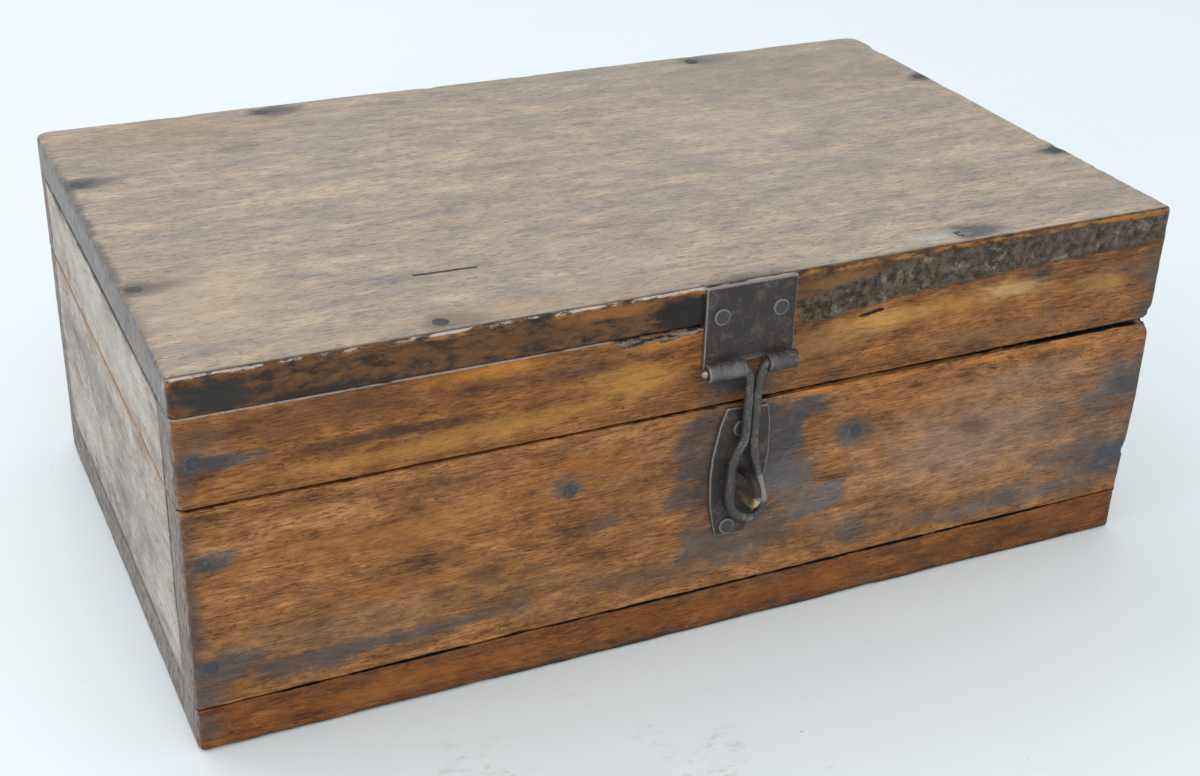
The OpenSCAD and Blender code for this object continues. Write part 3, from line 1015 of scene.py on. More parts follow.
@dataclass(frozen=True)
class IronFinish:
    """Old iron: dark skin, brown rust in the hollows and rubbed metal on the high places."""

    name: str
    skin: Colour = (0.031, 0.025, 0.023)
    rust: Colour = (0.062, 0.042, 0.034)
    rubbed_and_lit: Colour = (0.34, 0.32, 0.3)
    rubbed_share: float = 0.16
    edge_share: float = 0.8
    rough: Pair = (0.4, 0.62)
    blots: tuple[Blot, ...] = ()

    def material(self) -> bpy.types.Material:
        """Build the finish from lumps of three sizes, with metal rubbed bright where it is worn, and painted
        bright where the mesh marks it: partly rubbed metal, partly painted highlights and reflections.

        Returns:
            The material.
        """
        s = Shader(self.name)
        lumps = s.noise(s.mm, (4, 4, 4), 4, 0.6, 3)
        grit = s.noise(s.mm, (0.8, 0.8, 0.8), 4, 0.6, 4)
        pits = s.noise(s.mm, (1.6, 1.6, 1.6), 2, 0.5, 5).step(0.66, 0.76)
        worn = s.node("ShaderNodeAttribute", {"attribute_name": "wear"}, (), "Fac")
        colour = s.mix((lumps * 0.7 + grit * 0.3).step(0.4, 0.7), self.skin, self.rust)
        for blot in self.blots:
            feather = (lumps + grit - 1) * blot.ragged
            mask = s.blot(s.mm, blot.centre, blot.radii, feather, blot.soft) * blot.strength
            colour = s.mix(mask, colour, blot.colour)
        shine = (grit * 0.55 + lumps * 0.45).step(0.5, 0.66) * self.rubbed_share
        # Painted bright where the mesh marks its edges and stretches: partly rubbed metal, partly painted
        # highlights and reflections.
        edge = (worn + grit * 0.6 - 0.3).step(0.35, 0.95) * self.edge_share
        shine = shine.higher(edge)
        colour = s.mix(shine, colour, self.rubbed_and_lit)
        colour = s.mix(pits * 0.7, colour, (0.02, 0.016, 0.014))
        low, high = self.rough
        rough = (1 - shine) * (high - low) + low
        height = lumps * 0.25 + grit * 0.12 - pits * 0.15
        s.put(s.surface.inputs["Metallic"], 0.35 + shine * 0.6)
        return s.finish(colour, rough, height, 0.6, IOR=1.6)


WALL_NAIL_X = 145.0
LEVEL_NAIL_X = 146.0
WALL_NAIL_Z = (26.6, 58.0)
RIM_NAIL_Z = (LID_LOW + TOP_UNDER) / 2
DIVIDER_NAIL = (DIVIDER_X, 57.0)
LONG_NAIL_Y = DEPTH / 2 - BOARD / 2
LEVEL_NAILS = [(s * LEVEL_NAIL_X, y) for s in (-1, 1) for y in (-37, 41)]
LEVEL_NAILS += [(x, s * LONG_NAIL_Y) for s in (-1, 1) for x in (-79, 78)]


def on_front(
    x: float, z: float, long: float, tall: float, colour: Colour,
    strength: float = 0.8, ragged: float = 1.0, soft: float = 0.75,
) -> Blot:
    """Make a blot on the front face.

    Args:
        x: its middle along the board.
        z: its middle height.
        long: its radius along the board.
        tall: its radius upwards.
        colour: its colour.
        strength: how far it covers the wood.
        ragged: how far its rim is feathered.
        soft: the width of its rim, as a share of its radius.

    Returns:
        The blot.
    """
    return Blot((x, FRONT, z), (long, 6, tall), colour, strength, ragged, soft)


def top_blots() -> tuple[Blot, ...]:
    """List the stains of the top board's upper face.

    Returns:
        The blots, in the order that they are painted in.
    """
    blots = [Blot((x + 5, y, TOP), (13, 7, 5), (0.1, 0.093, 0.095), 0.9) for x, y in LEVEL_NAILS]
    blots += [Blot((x + 1, y, TOP), (7.5, 5.5, 5), IRON_BLUE, 0.85) for x, y in LEVEL_NAILS]
    rows = (
        ((-149.5, 0), (3, 110, 5), (0.09, 0.085, 0.085), 0.8, 1.6),
        ((7, FRONT), (26, 8, 4), IRON_BLUE, 0.75),
        ((-15, FRONT), (16, 4, 4), IRON_BLUE, 0.7),
        ((60, 20), (55, 34, 4), (0.56, 0.44, 0.32), 0.35, 0.8, 1.0),
        ((-110, 75), (60, 22, 4), (0.33, 0.19, 0.1), 0.5, 0.8, 1.0),
        ((-128, -55), (34, 44, 4), (0.58, 0.4, 0.26), 0.5, 0.8, 1.0),
        ((-60, -82), (90, 9, 4), (0.5, 0.32, 0.18), 0.5, 0.8, 1.0),
        ((104, 62), (84, 44, 4), (0.29, 0.24, 0.195), 0.75, 0.8, 1.0),
        ((-93, 55), (12, 6, 4), IRON_BLUE, 0.35),
        ((-30, 12), (30, 3, 4), IRON_BLUE, 0.25),
        ((72, -83), (12, 4, 4), (0.5, 0.48, 0.46), 0.6),
        ((-20, -70), (16, 6, 4), (0.5, 0.45, 0.4), 0.2),
    )
    return tuple(blots + [Blot((x, y, TOP), *look) for (x, y), *look in rows])


def edge_blots() -> tuple[Blot, ...]:
    """List the patches of the top board's front edge.

    Returns:
        The blots, in the order that they are painted in.
    """
    rows = (
        (-138, 105, 11.5, 6.5, (0.026, 0.026, 0.025), 0.9, 1.3, 0.4),
        (-112, 101, 26, 2.2, (0.02, 0.018, 0.016), 0.9),
        (-34, 108.4, 20, 2.4, (0.3, 0.115, 0.026), 0.8),
        (-60, 105, 22, 2, (0.13, 0.055, 0.02), 0.7),
        (-13, 104.5, 9, 7, (0.016, 0.014, 0.014), 0.95, 0.8, 0.4),
        (36, 105.5, 20, 4, (0.2, 0.1, 0.036), 0.85),
        (135, 102.5, 4.5, 0.9, BLACK, 1.0, 0.4),
        (118, 109, 30, 1.6, (0.07, 0.05, 0.035), 0.7),
    )
    return tuple(on_front(*row) for row in rows)


def rim_blots() -> tuple[Blot, ...]:
    """List the patches of the lid's front board.

    Returns:
        The blots, in the order that they are painted in.
    """
    rows = (
        (-105, 94, 60, 6.5, MAROON, 0.65),
        (-68, 97.5, 26, 3, ORANGE, 0.85),
        (-97, 85.4, 40, 2.8, UMBER, 0.9),
        (-95, 79, 45, 3.4, OCHRE, 0.9),
        (-45, 92.5, 26, 3, UMBER, 0.6),
        (-27, 87, 22, 7, (0.43, 0.2, 0.045), 0.95),
        (-58, 81.5, 34, 4.2, OCHRE, 0.85),
        (-20, 97, 12, 3, ORANGE, 0.8),
        (-143, 92, 10, 8, (0.12, 0.075, 0.05), 0.6),
        (-138, 86.4, 17, 3.4, IRON_BLUE, 0.95),
        (-146, 86.6, 6, 5, IRON_BLUE, 0.8),
        (-147, 81, 4, 8, (0.08, 0.06, 0.055), 0.6),
        (70, 91.5, 60, 6, (0.4, 0.18, 0.038), 0.75, 1.0, 1.0),
        (56, 91.5, 22, 4, (0.45, 0.235, 0.065), 0.95),
        (94, 93.6, 18, 4, (0.5, 0.31, 0.125), 0.9),
        (127, 90.5, 14, 5.5, (0.4, 0.21, 0.06), 0.75),
        (34, 88, 26, 7, (0.38, 0.2, 0.075), 0.6, 1.0, 1.0),
        (148, 92, 13, 9, (0.1, 0.075, 0.055), 0.9, 1.0, 0.8),
        (95, 80, 50, 4, (0.3, 0.16, 0.08), 0.5),
        (104, 97, 11, 2.6, (0.06, 0.042, 0.045), 0.9),
        (136, 93.2, 6.5, 2.6, (0.07, 0.05, 0.05), 0.8),
        (149.5, 88, 5, 7, IRON_BLUE, 0.9),
        (147, 77.5, 8, 4, IRON_BROWN, 0.8),
        (6, 80, 17, 7.5, (0.055, 0.05, 0.05), 0.95),
        (9, 92, 16, 7, IRON_BROWN, 0.8),
        # Painted shade: three short black marks for the shade in a gash.
        (44.2, 94.0, 2.4, 0.7, BLACK, 1.0, 0.3, 0.3),
        (46.3, 94.35, 2.2, 0.6, BLACK, 1.0, 0.3, 0.3),
        (48.4, 94.75, 2.4, 0.7, BLACK, 1.0, 0.3, 0.3),
    )
    return tuple(on_front(*row) for row in rows)


def wall_blots() -> tuple[Blot, ...]:
    """List the stains and patches of the lower front board.

    Returns:
        The blots, in the order that they are painted in.
    """
    rows = (
        (-85, 55, 55, 10, (0.4, 0.165, 0.034), 0.6, 1.0, 1.0),
        (-95, 38, 34, 6, (0.36, 0.15, 0.03), 0.6, 1.0, 1.0),
        (80, 62, 44, 9, (0.37, 0.16, 0.045), 0.6, 1.0, 1.0),
        (-40, 63, 24, 8, (0.4, 0.15, 0.03), 0.7, 1.0, 1.0),
        # Painted sheen: a pale greyish film over the right part of the front, where light glances off it.
        (88, 44, 62, 26, (0.345, 0.24, 0.18), 0.6, 0.8, 1.0),
        (-70, 36.6, 10, 3, UMBER, 0.6),
        (-83, 33.8, 6, 2, UMBER, 0.6),
        (-95, 22.5, 54, 3.6, IRON_BROWN, 0.85),
        (-118, 21, 24, 5, (0.1, 0.082, 0.072), 0.75),
        (-20, 24, 44, 5, UMBER, 0.5),
        (60, 20, 60, 4, (0.13, 0.08, 0.055), 0.5),
        (19, 57, 12, 21, IRON_BLUE, 0.92, 1.0, 0.5),
        (-3, 61, 14, 16, (0.082, 0.066, 0.06), 0.88, 1.0, 0.5),
        (-11, 47, 8, 5, IRON_BROWN, 0.85, 1.0, 0.5),
        (-34, 44, 8, 2.4, IRON_BROWN, 0.6, 1.0, 0.6),
        (0, 46, 14, 24, (0.05, 0.045, 0.045), 0.7),
        (24, 46, 14, 10, STAIN, 0.8, 1.4, 0.5),
        (8, 30, 26, 10, (0.1, 0.08, 0.068), 0.88, 1.2, 0.5),
        (34, 36, 15, 7, STAIN, 0.85, 1.4, 0.5),
        (46, 25, 20, 9, (0.13, 0.113, 0.103), 0.65, 1.0, 1.0),
        (27.5, 69, 11, 4.5, IRON_BLUE, 0.85, 1.2, 0.5),
        (-46, 58.4, 6.5, 5.6, IRON_BLUE, 0.85, 0.8),
        (44, 56.4, 8.5, 6.5, (0.095, 0.082, 0.076), 0.95, 0.8, 0.6),
        (-143, 58.4, 11, 5, IRON_BLUE, 0.9),
        (-141, 26, 15, 6.5, IRON_BLUE, 0.95),
        (-150, 40, 6, 60, (0.07, 0.055, 0.05), 0.8),
        (-147, 18, 10, 9, IRON_BROWN, 0.85),
        (87, 49.4, 8, 5, UMBER, 0.5),
        (146, 54, 34, 15, (0.115, 0.097, 0.088), 0.9, 1.0, 1.0),
        (140, 31, 44, 17, (0.11, 0.094, 0.086), 0.95, 1.0, 1.0),
        (143, 27, 18, 10, IRON_BLUE, 0.95, 0.8, 0.8),
        (142, 53, 18, 8, (0.075, 0.078, 0.084), 0.85, 0.9, 0.8),
        (106, 20.5, 52, 6.5, (0.115, 0.094, 0.08), 0.9, 0.9, 0.9),
        (-105, 28, 80, 15, (0.15, 0.1, 0.068), 0.5, 1.0, 1.0),
        (-6, 24, 60, 9, (0.13, 0.092, 0.066), 0.55, 1.0, 1.0),
        (106, 63, 34, 8, (0.4, 0.25, 0.16), 0.5, 0.8, 1.0),
        (148, 58, 8, 8, IRON_BROWN, 0.8),
        (151, 42, 6, 44, (0.085, 0.07, 0.064), 0.8),
        # Partly worn wood and partly painted highlight: orange along the lit upper arris, below the parting
        # gap.
        (30, 72.2, 10, 1.3, ORANGE, 0.85, 1.6),
        (58, 72.0, 13, 1.5, ORANGE, 0.8, 1.8),
        (90, 71.6, 12, 1.3, ORANGE, 0.85, 1.8),
        (118, 71.2, 14, 1.6, ORANGE, 0.8, 1.8),
    )
    # Partly worn wood and partly painted highlight: the lit top edge at the left end is painted ochre.
    corner = Blot((-WIDTH / 2, -83, 73.4), (3, 16, 1.9), (0.42, 0.2, 0.05), 0.95, 0.6)
    return (*(on_front(*row) for row in rows), corner)


def foot_blots() -> tuple[Blot, ...]:
    """List the patches of the bottom board's edge.

    Returns:
        The blots, in the order that they are painted in.
    """
    rows = (
        (-90, 7, 50, 4, (0.33, 0.115, 0.02), 0.7),
        (20, 7, 60, 4, (0.24, 0.078, 0.016), 0.6),
        (110, 7, 60, 9, (0.12, 0.045, 0.016), 0.7, 1.0, 1.0),
        (62, 11, 9, 2.6, (0.11, 0.04, 0.02), 0.8),
        (-83, 6, 14, 1.4, MAROON, 0.8),
        (-148, 8, 7, 6, IRON_BROWN, 0.7),
        (0, 0.2, 260, 2.4, (0.03, 0.02, 0.015), 0.9, 0.8),
    )
    return tuple(on_front(*row) for row in rows)


def side_blots() -> tuple[Blot, ...]:
    """List the grime and dark joints of the side boards, with a painted sheen and a painted highlight.

    Returns:
        The blots, in the order that they are painted in.
    """
    rows = (
        # Painted sheen: a pale band along the lid's side.
        ((0, 88), (4, 120, 12), (0.56, 0.5, 0.44), 0.6, 0.8, 1.0),
        ((-30, 40), (10, 60, 16), (0.27, 0.235, 0.21), 0.4),
        ((30, 60), (10, 60, 9), (0.17, 0.14, 0.125), 0.5),
        ((10, 99.5), (4, 200, 1.8), (0.035, 0.028, 0.024), 0.95, 1.4),
        ((-76.5, 60), (4, 1.4, 60), (0.04, 0.032, 0.028), 0.85, 1.0),
        # Partly worn wood and partly painted highlight: the lit upper edge of the lower part.
        ((10, 73.5), (3, 200, 1.6), (0.36, 0.19, 0.07), 0.85, 1.2),
        ((10, 15), (4, 200, 3), (0.09, 0.075, 0.068), 0.8, 1.2),
        ((10, 14.3), (4, 200, 1), (0.035, 0.03, 0.027), 0.9, 0.8),
    )
    return tuple(Blot((-WIDTH / 2, y, z), *look) for (y, z), *look in rows)


class Wardrobe:
    """Every finish of the box, made once."""

    def __init__(self) -> None:
        """Make the finishes."""
        # The top's grey tones are partly painted sheen: its colours are greyed for the pale room that it
        # reflects at a grazing angle.
        self.top = WoodFinish(
            "top_board_wood", dark=(0.24, 0.215, 0.2), middle=(0.37, 0.295, 0.222),
            light=(0.55, 0.415, 0.285), grime=(0.3, 0.285, 0.28), contrast=0.16, rough=(0.34, 0.52),
            sheen=0.22, blots=top_blots(), seed=3, end_grain_sheen=(0.2, 0.205, 0.215), extra=Coat.lid_edge,
        ).material()
        self.rim = WoodFinish(
            "lid_front_wood", dark=(0.07, 0.028, 0.012), middle=(0.22, 0.085, 0.024),
            light=(0.37, 0.16, 0.045), blots=rim_blots(), seed=8, extra=Coat.rim,
        ).material()
        self.wall = WoodFinish(
            "base_front_wood", middle=(0.285, 0.118, 0.036), light=(0.45, 0.21, 0.075),
            blots=wall_blots(), seed=14, extra=Coat.both_seams,
        ).material()
        self.foot = WoodFinish(
            "bottom_board_wood", dark=(0.075, 0.025, 0.009), middle=(0.2, 0.066, 0.015),
            light=(0.29, 0.11, 0.024), blots=foot_blots(), seed=21, extra=Coat.foot_seam,
        ).material()
        self.plain = WoodFinish("back_board_wood", grime_share=0.5, seed=27).material()
        # Painted sheen: the sides are painted pale grey for the bright room that they reflect at a grazing
        # angle.
        self.side = WoodFinish(
            "side_board_wood", dark=(0.2, 0.16, 0.135), middle=(0.44, 0.375, 0.325), light=(0.56, 0.5, 0.46),
            contrast=0.25, grain=Grain.ALONG_Y, blots=side_blots(), grime_share=0.5, seed=33,
        ).material()
        self.inner = WoodFinish(
            "divider_wood", dark=(0.14, 0.08, 0.04), middle=(0.3, 0.18, 0.09), light=(0.4, 0.26, 0.14),
            grain=Grain.ALONG_Y, rough=(0.6, 0.8), seed=40,
        ).material()
        # Painted highlight: a pale band along the top of the hasp plate's roll.
        lit_roll = Blot((0, FRONT - HASP_OUT, HASP_Z + 0.6), (40, 9, 3.0), (0.2, 0.18, 0.18), 0.65, 0.8, 0.9)
        self.sheet = IronFinish("sheet_iron", blots=(lit_roll,)).material()
        self.wire = IronFinish(
            "wire_iron", skin=(0.045, 0.043, 0.043), rust=(0.085, 0.066, 0.055), rubbed_share=0.5,
            rough=(0.26, 0.42),
        ).material()
        # Painted reflection: the staple's bright metal is a warm beige, for the warm light that it reflects.
        self.staple = IronFinish("staple_iron", rubbed_and_lit=(0.66, 0.5, 0.36), edge_share=0.95).material()
        self.nail = IronFinish(
            "nail_iron", skin=(0.045, 0.045, 0.05), rust=(0.06, 0.05, 0.046), rubbed_share=0.2,
            edge_share=0.45,
        ).material()


@dataclass
class WoodenBox:
    """All the boards of the lid and of the lower part."""

    finishes: Wardrobe
    left_corner: float = 2.4
    lid_right_corner: float = 2.8
    base_right_corner: float = 2.4
    back_corner: float = 5.5
    base_lean: float = 2.2

    def form(self, right_corner: float, lean: float = 0.0) -> OuterForm:
        """Return the worn block of the lid or of the lower part."""
        behind = {(-1, 1): self.back_corner, (1, 1): self.back_corner}
        return OuterForm({(-1, -1): self.left_corner, (1, -1): right_corner, **behind}, lean)

    def boards(self) -> list[tuple[Board, bpy.types.Material, Slot]]:
        """List the boards.

        Returns:
            Each board with its finish and its slot.
        """
        w, f = WIDTH / 2, self.finishes
        inner_y = (FRONT + BOARD, BACK - BOARD)
        rim_dents = (
            Dent((-20, FRONT, 99.8), (14, 4, 2.6), 1.9),
            Dent((151, FRONT, 74.8), (6, 9, 4.5), 2.0),
        )
        wall_dents = (
            Dent((150.5, FRONT, 28.5), (4, 9, 2.6), 2.0),
            Dent((151, FRONT, 74.5), (7, 10, 5.5), 2.2),
            Dent((55, FRONT, 74.4), (95, 4, 1.2), 0.6),
        )
        lid_form = self.form(self.lid_right_corner)
        base_form = self.form(self.base_right_corner, self.base_lean)
        lid = dict(body="lid", form=lid_form, levels=(LID_LOW, TOP), edge=(0.7, 1.5), sealed=True)
        base = dict(body="base", form=base_form, levels=(0.0, PARTING), edge=(1.6, 0.8))
        top = Board("lid_top", (-w, FRONT, TOP_UNDER), (w, BACK, TOP), **lid)
        bottom = Board("base_bottom", (-w, FRONT, 0), (w, BACK, BOTTOM_TOP), **base)
        rims, walls = ("lid", LID_LOW, TOP_UNDER, lid), ("base", BOTTOM_TOP, PARTING, base)
        boards = []
        for level, look, slot, (part, z0, z1, kind), dents, finish in (
            (top, f.top, Slot.TOP, rims, rim_dents, f.rim),
            (bottom, f.foot, Slot.WALL, walls, wall_dents, f.wall),
        ):
            front = Board(f"{part}_front", (-w, FRONT, z0), (w, inner_y[0], z1), dents=dents, **kind)
            back = Board(f"{part}_back", (-w, inner_y[1], z0), (w, BACK, z1), **kind)
            boards += [(level, look, slot), (front, finish, Slot.WALL), (back, f.plain, Slot.WALL)]
        for name, x0 in (("left", -w), ("right", w - BOARD)):
            for part, z0, z1, kind in (rims, walls):
                low, high = (x0, inner_y[0], z0), (x0 + BOARD, inner_y[1], z1)
                side = Board(f"{part}_{name}", low, high, grain=Grain.ALONG_Y, **kind)
                boards.append((side, f.side, Slot.WALL))
        for name, x in (("left", -DIVIDER_X), ("right", DIVIDER_X)):
            low = (x - DIVIDER_HALF, inner_y[0], BOTTOM_TOP)
            high = (x + DIVIDER_HALF, inner_y[1], DIVIDER_TOP)
            boards.append((Board(f"divider_{name}", low, high, "base", Grain.ALONG_Y), f.inner, Slot.INNER))
        return boards

    def build(self) -> None:
        """Build every board in place of its solid."""
        for board, finish, slot in self.boards():
            place(board.shape().build(f"{board.node}_board", finish), board.body, slot, board.node)


def place(piece: bpy.types.Object, body: str, slot: Slot, *nodes: str) -> None:
    """Make a piece stand for its nodes and ride on its body.

    Args:
        piece: the finished piece.
        body: the body that it rides on.
        slot: the record's slot that its finish stands for; not used.
        nodes: the nodes that it replaces.
    """
    if nodes:
        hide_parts(*nodes)
    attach(piece, body)
    LOG.info("%s: %d faces on %s", piece.name, len(piece.data.polygons), body)


@dataclass
class Nails:
    """Every nail, driven flush in wood or standing a little proud on sheet iron.

    A kind of nail is the thickness of its head and its length.
    """

    finish: bpy.types.Material
    wood: Pair = (1.1, 34.0)
    under: Pair = (0.8, 33.0)
    thin: Pair = (0.6, 12.8)
    proud: float = SHEET + 0.6
    crumbled_x: float = 140.0
    plate: tuple[Pair, ...] = ((HASP_X - 10.2, TOP - 8.9), (HASP_X + 7.8, TOP - 8.9))
    keeper: tuple[Pair, ...] = ((6.1, 66.6), (3.5, 35.2))
    leaf_step: Pair = (7.0, 18.0)

    def wall(self, places: Iterable[Pair], side: int, lift: float = 0.0) -> list[Nail]:
        """Make nails that go in through the front or the back.

        The heads at the crumbled right end of the front are smaller and sit deeper.

        Args:
            places: where they are, as X and Z.
            side: -1 for the front and 1 for the back.
            lift: how far their heads stand out.

        Returns:
            The nails.
        """
        worn = [x > self.crumbled_x and side < 0 for x, _ in places]
        return [
            Nail((x, side * (BACK + lift - 0.3 * w), z), (0, -side, 0), NAIL_RIM - 0.5 * w)
            for (x, z), w in zip(places, worn)
        ]

    def leaf(self, above: int) -> list[Nail]:
        """Make the nails of two hinge leaves.

        Args:
            above: 1 for the leaves above the pins and -1 for those below.

        Returns:
            The nails.
        """
        step, rise = self.leaf_step
        places = [(h * HINGE_X + s * step, HINGE_Z + above * rise) for h in (-1, 1) for s in (-1, 1)]
        return self.wall(places, 1, self.proud)

    def groups(self) -> dict[str, tuple[str, list[Nail], Pair]]:
        """List the groups of nails.

        Returns:
            Each node's body, nails and kind of nail.
        """
        ends = [(s * WALL_NAIL_X, z) for s in (-1, 1) for z in WALL_NAIL_Z]
        middle = [(s * DIVIDER_NAIL[0], DIVIDER_NAIL[1]) for s in (-1, 1)]
        rims = [(s * WALL_NAIL_X, RIM_NAIL_Z) for s in (-1, 1)]
        up = [Nail((x, y, 0.3), (0, 0, 1)) for x, y in LEVEL_NAILS]
        down = [Nail((x, y, TOP), (0, 0, -1)) for x, y in LEVEL_NAILS]
        return {
            "base_front_nails": ("base", self.wall(ends, -1), self.wood),
            "base_back_nails": ("base", self.wall(ends, 1), self.wood),
            "base_bottom_nails": ("base", up, self.under),
            "divider_nails": ("base", self.wall(middle, -1) + self.wall(middle, 1), self.wood),
            "lid_top_nails": ("lid", down, self.wood),
            "lid_front_nails": ("lid", self.wall(rims, -1), self.wood),
            "lid_back_nails": ("lid", self.wall(rims, 1), self.wood),
            "hasp_plate_nails": ("lid", self.wall(self.plate, -1, self.proud), self.thin),
            "keeper_nails": ("base", self.wall(self.keeper, -1, self.proud), self.thin),
            "hinge_lid_nails": ("lid", self.leaf(1), self.thin),
            "hinge_base_nails": ("base", self.leaf(-1), self.thin),
        }

    def build(self) -> None:
        """Build one piece for each node."""
        for node, (body, nails, kind) in self.groups().items():
            shapes = [nail.shape(*kind, 60 + n) for n, nail in enumerate(nails)]
            place(Shape.joined(shapes).build(f"{node}_beaten", self.finish), body, Slot.NAIL, node)


def rolled_profile(flat: float) -> Array:
    """Return the middle line of a rolled sheet.

    It comes straight down beside the wood, then rolls under the pin on a circle and ends
    just in front of the circle's top.

    Args:
        flat: how far above the pin it starts.

    Returns:
        Rows of the distance outward and the height, both from the pin's middle.
    """
    straight = np.linspace(flat, 0, FLAT_ROWS)
    lean = -2.4 + (straight < 6) * 0.2 * (1 - straight / 6)
    line = np.stack([lean, straight], 1)
    angle = np.radians(np.linspace(186, 462, ROLL_ROWS))
    roll = KNUCKLE_MID * np.stack([np.cos(angle), np.sin(angle)], 1)
    return np.vstack([line, roll])


@dataclass
class RolledSheet:
    """A sheet with knuckles rolled on one edge: the hasp plate or a hinge leaf.

    Its pin's place is given as Y and Z. The gaps part its knuckles, and clear is how far
    above the pin's middle they reach.
    """

    node: str
    body: str
    left: float
    right: float
    reach: float
    pin: Pair
    outward: int
    gaps: tuple[Pair, ...]
    clear: float = 3.3
    up: int = 1
    bevel: float = 0.22

    def build(self, finish: bpy.types.Material, seed: int) -> None:
        """Sweep the profile along X, and leave it open where a gap needs it.

        Args:
            finish: the sheet's finish.
            seed: which unevenness it has.
        """
        profile = rolled_profile(self.reach)
        cuts = [edge for gap in self.gaps for edge in gap]
        even = np.arange(self.left, self.right, 0.9)
        xs = np.unique(np.round(np.concatenate([even, cuts, [self.left, self.right]]), 3))
        xs = xs[(xs >= self.left) & (xs <= self.right)]
        points = np.zeros((len(xs), len(profile), 3))
        points[..., 0] = xs[:, None]
        points[..., 1] = self.pin[0] + self.outward * profile[:, 0]
        points[..., 2] = self.pin[1] + self.up * profile[:, 1]
        middle = (xs[:-1] + xs[1:]) / 2
        step = np.arange(len(profile) - 1)
        on_flat = (step < FLAT_ROWS - 1) & (profile[:-1, 1] > self.clear)
        in_gap = np.zeros(len(middle), bool)
        for low, high in self.gaps:
            in_gap |= (middle > low) & (middle < high)
        keep = ~in_gap[:, None] | on_flat[None]
        if self.outward * self.up < 0:
            points, keep = points[::-1], keep[::-1]
        piece = Sheet(points, keep).build(f"{self.node}_sheet", finish, seed, self.bevel)
        place(piece, self.body, Slot.SHEET, self.node)


@dataclass
class Hasp:
    """The hasp: one wire, its ends in the knuckles, bent down and round the loop.

    The radii and the stretches that are painted bright, as rubbed metal and painted highlights, are given at
    shares of the wire's length.
    """

    finish: bpy.types.Material
    y: float = FRONT - HASP_OUT
    front: float = FRONT - HASP_OUT - 0.8
    rows: int = 330
    radii: tuple[Pair, ...] = (
        (0, 1.3), (0.07, 1.45), (0.1, 1.4), (0.3, 1.45), (0.42, 1.6), (0.5, 1.4), (0.56, 1.3), (0.64, 1.2),
        (0.7, 1.45), (0.93, 1.45), (1, 1.4),
    )
    # Painted highlights, partly rubbed metal: the wire's two ends and a short stretch of the loop.
    rubbed_and_lit: tuple[Pair, ...] = (
        (0, 1), (0.03, 0), (0.56, 0), (0.58, 1), (0.64, 1), (0.66, 0), (0.97, 0), (1, 1),
    )

    def path(self) -> Array:
        """Lead the wire from its left end down, round the loop and up to its right end.

        Returns:
            The points of its middle line.
        """
        y, z, front = self.y, HASP_Z, self.front
        left = [(-7.4, y, z), (2, y, z), (3.6, y, z), (4.7, y - 0.2, z - 0.2), (5.7, y - 0.5, z - 1.2)]
        left += [(6.1, front, z - 3), (6.2, front, z - 7), (6.2, front, 73), (6.15, front, 66.5)]
        right = [(20.9, y, z), (14, y, z), (12.4, y, z), (11.3, y - 0.2, z - 0.2), (10.3, y - 0.5, z - 1.1)]
        right += [(9.5, front, z - 2.8), (9.0, front, z - 5.6), (8.8, front, 73), (8.8, front, 66.5)]
        loop = [(5.6, 63.5), (4.0, 60.6), (2.8, 57), (2.4, 52), (2.35, 47), (2.9, 43.4), (4.7, 40.6)]
        loop += [(7.6, 38.9), (10.6, 38.4), (12.7, 39.7), (13.5, 42.6), (13.0, 46), (11.7, 50.5)]
        loop += [(10.1, 55.5), (9.1, 60.5)]
        return spline(left + [(x, front, height) for x, height in loop] + right[::-1], self.rows)

    def build(self) -> None:
        """Build the wire, thicker and thinner along its length."""
        share = np.linspace(0, 1, self.rows)
        radius, wear = table(share, self.radii), table(share, self.rubbed_and_lit)
        piece = wire(self.path(), radius, (0, 1, 0), wear).build("hasp_wire", self.finish)
        place(piece, "hasp", Slot.WIRE, "hasp")


@dataclass
class Staple:
    """The staple: a bend outside, two legs through the board, ends bent over inside."""

    finish: bpy.types.Material
    x: float = HASP_X - 0.9
    z: float = 49.0
    half: float = 4.0
    radius: float = 1.2
    bend_y: float = FRONT - 6.4
    inside: float = FRONT + BOARD + 1.5
    rows: int = 150
    # Painted reflection: the half below the bend is painted a warm bright colour.
    rubbed_and_lit: tuple[Pair, ...] = ((0, 0), (0.48, 0), (0.52, 1), (1, 1))

    def path(self) -> Array:
        """Lead the wire from its upper end out, round the bend and back to its lower end.

        Returns:
            The points of its middle line.
        """
        x, y, z, half = self.x, self.inside, self.z, self.half
        turn = np.radians(np.linspace(0, 180, 11))
        bend = [(x + 0.4, self.bend_y - half * math.sin(a), z + half * math.cos(a)) for a in turn]
        upper = [(x, y, z + half + 9), (x, y, z + half + 3), (x, y - 0.7, z + half + 0.6)]
        upper += [(x, y - 3.5, z + half), (x, FRONT, z + half)]
        lower = [(px, py, 2 * z - pz) for px, py, pz in upper[::-1]]
        return spline(upper + bend + lower, self.rows)

    def build(self) -> None:
        """Build the wire, painted with a warm reflection below its bend."""
        wear = table(np.linspace(0, 1, self.rows), self.rubbed_and_lit)
        shape = wire(self.path(), np.full(self.rows, self.radius), (1, 0, 0), wear, seed=5)
        place(shape.build("staple_wire", self.finish), "base", Slot.WIRE, "staple")


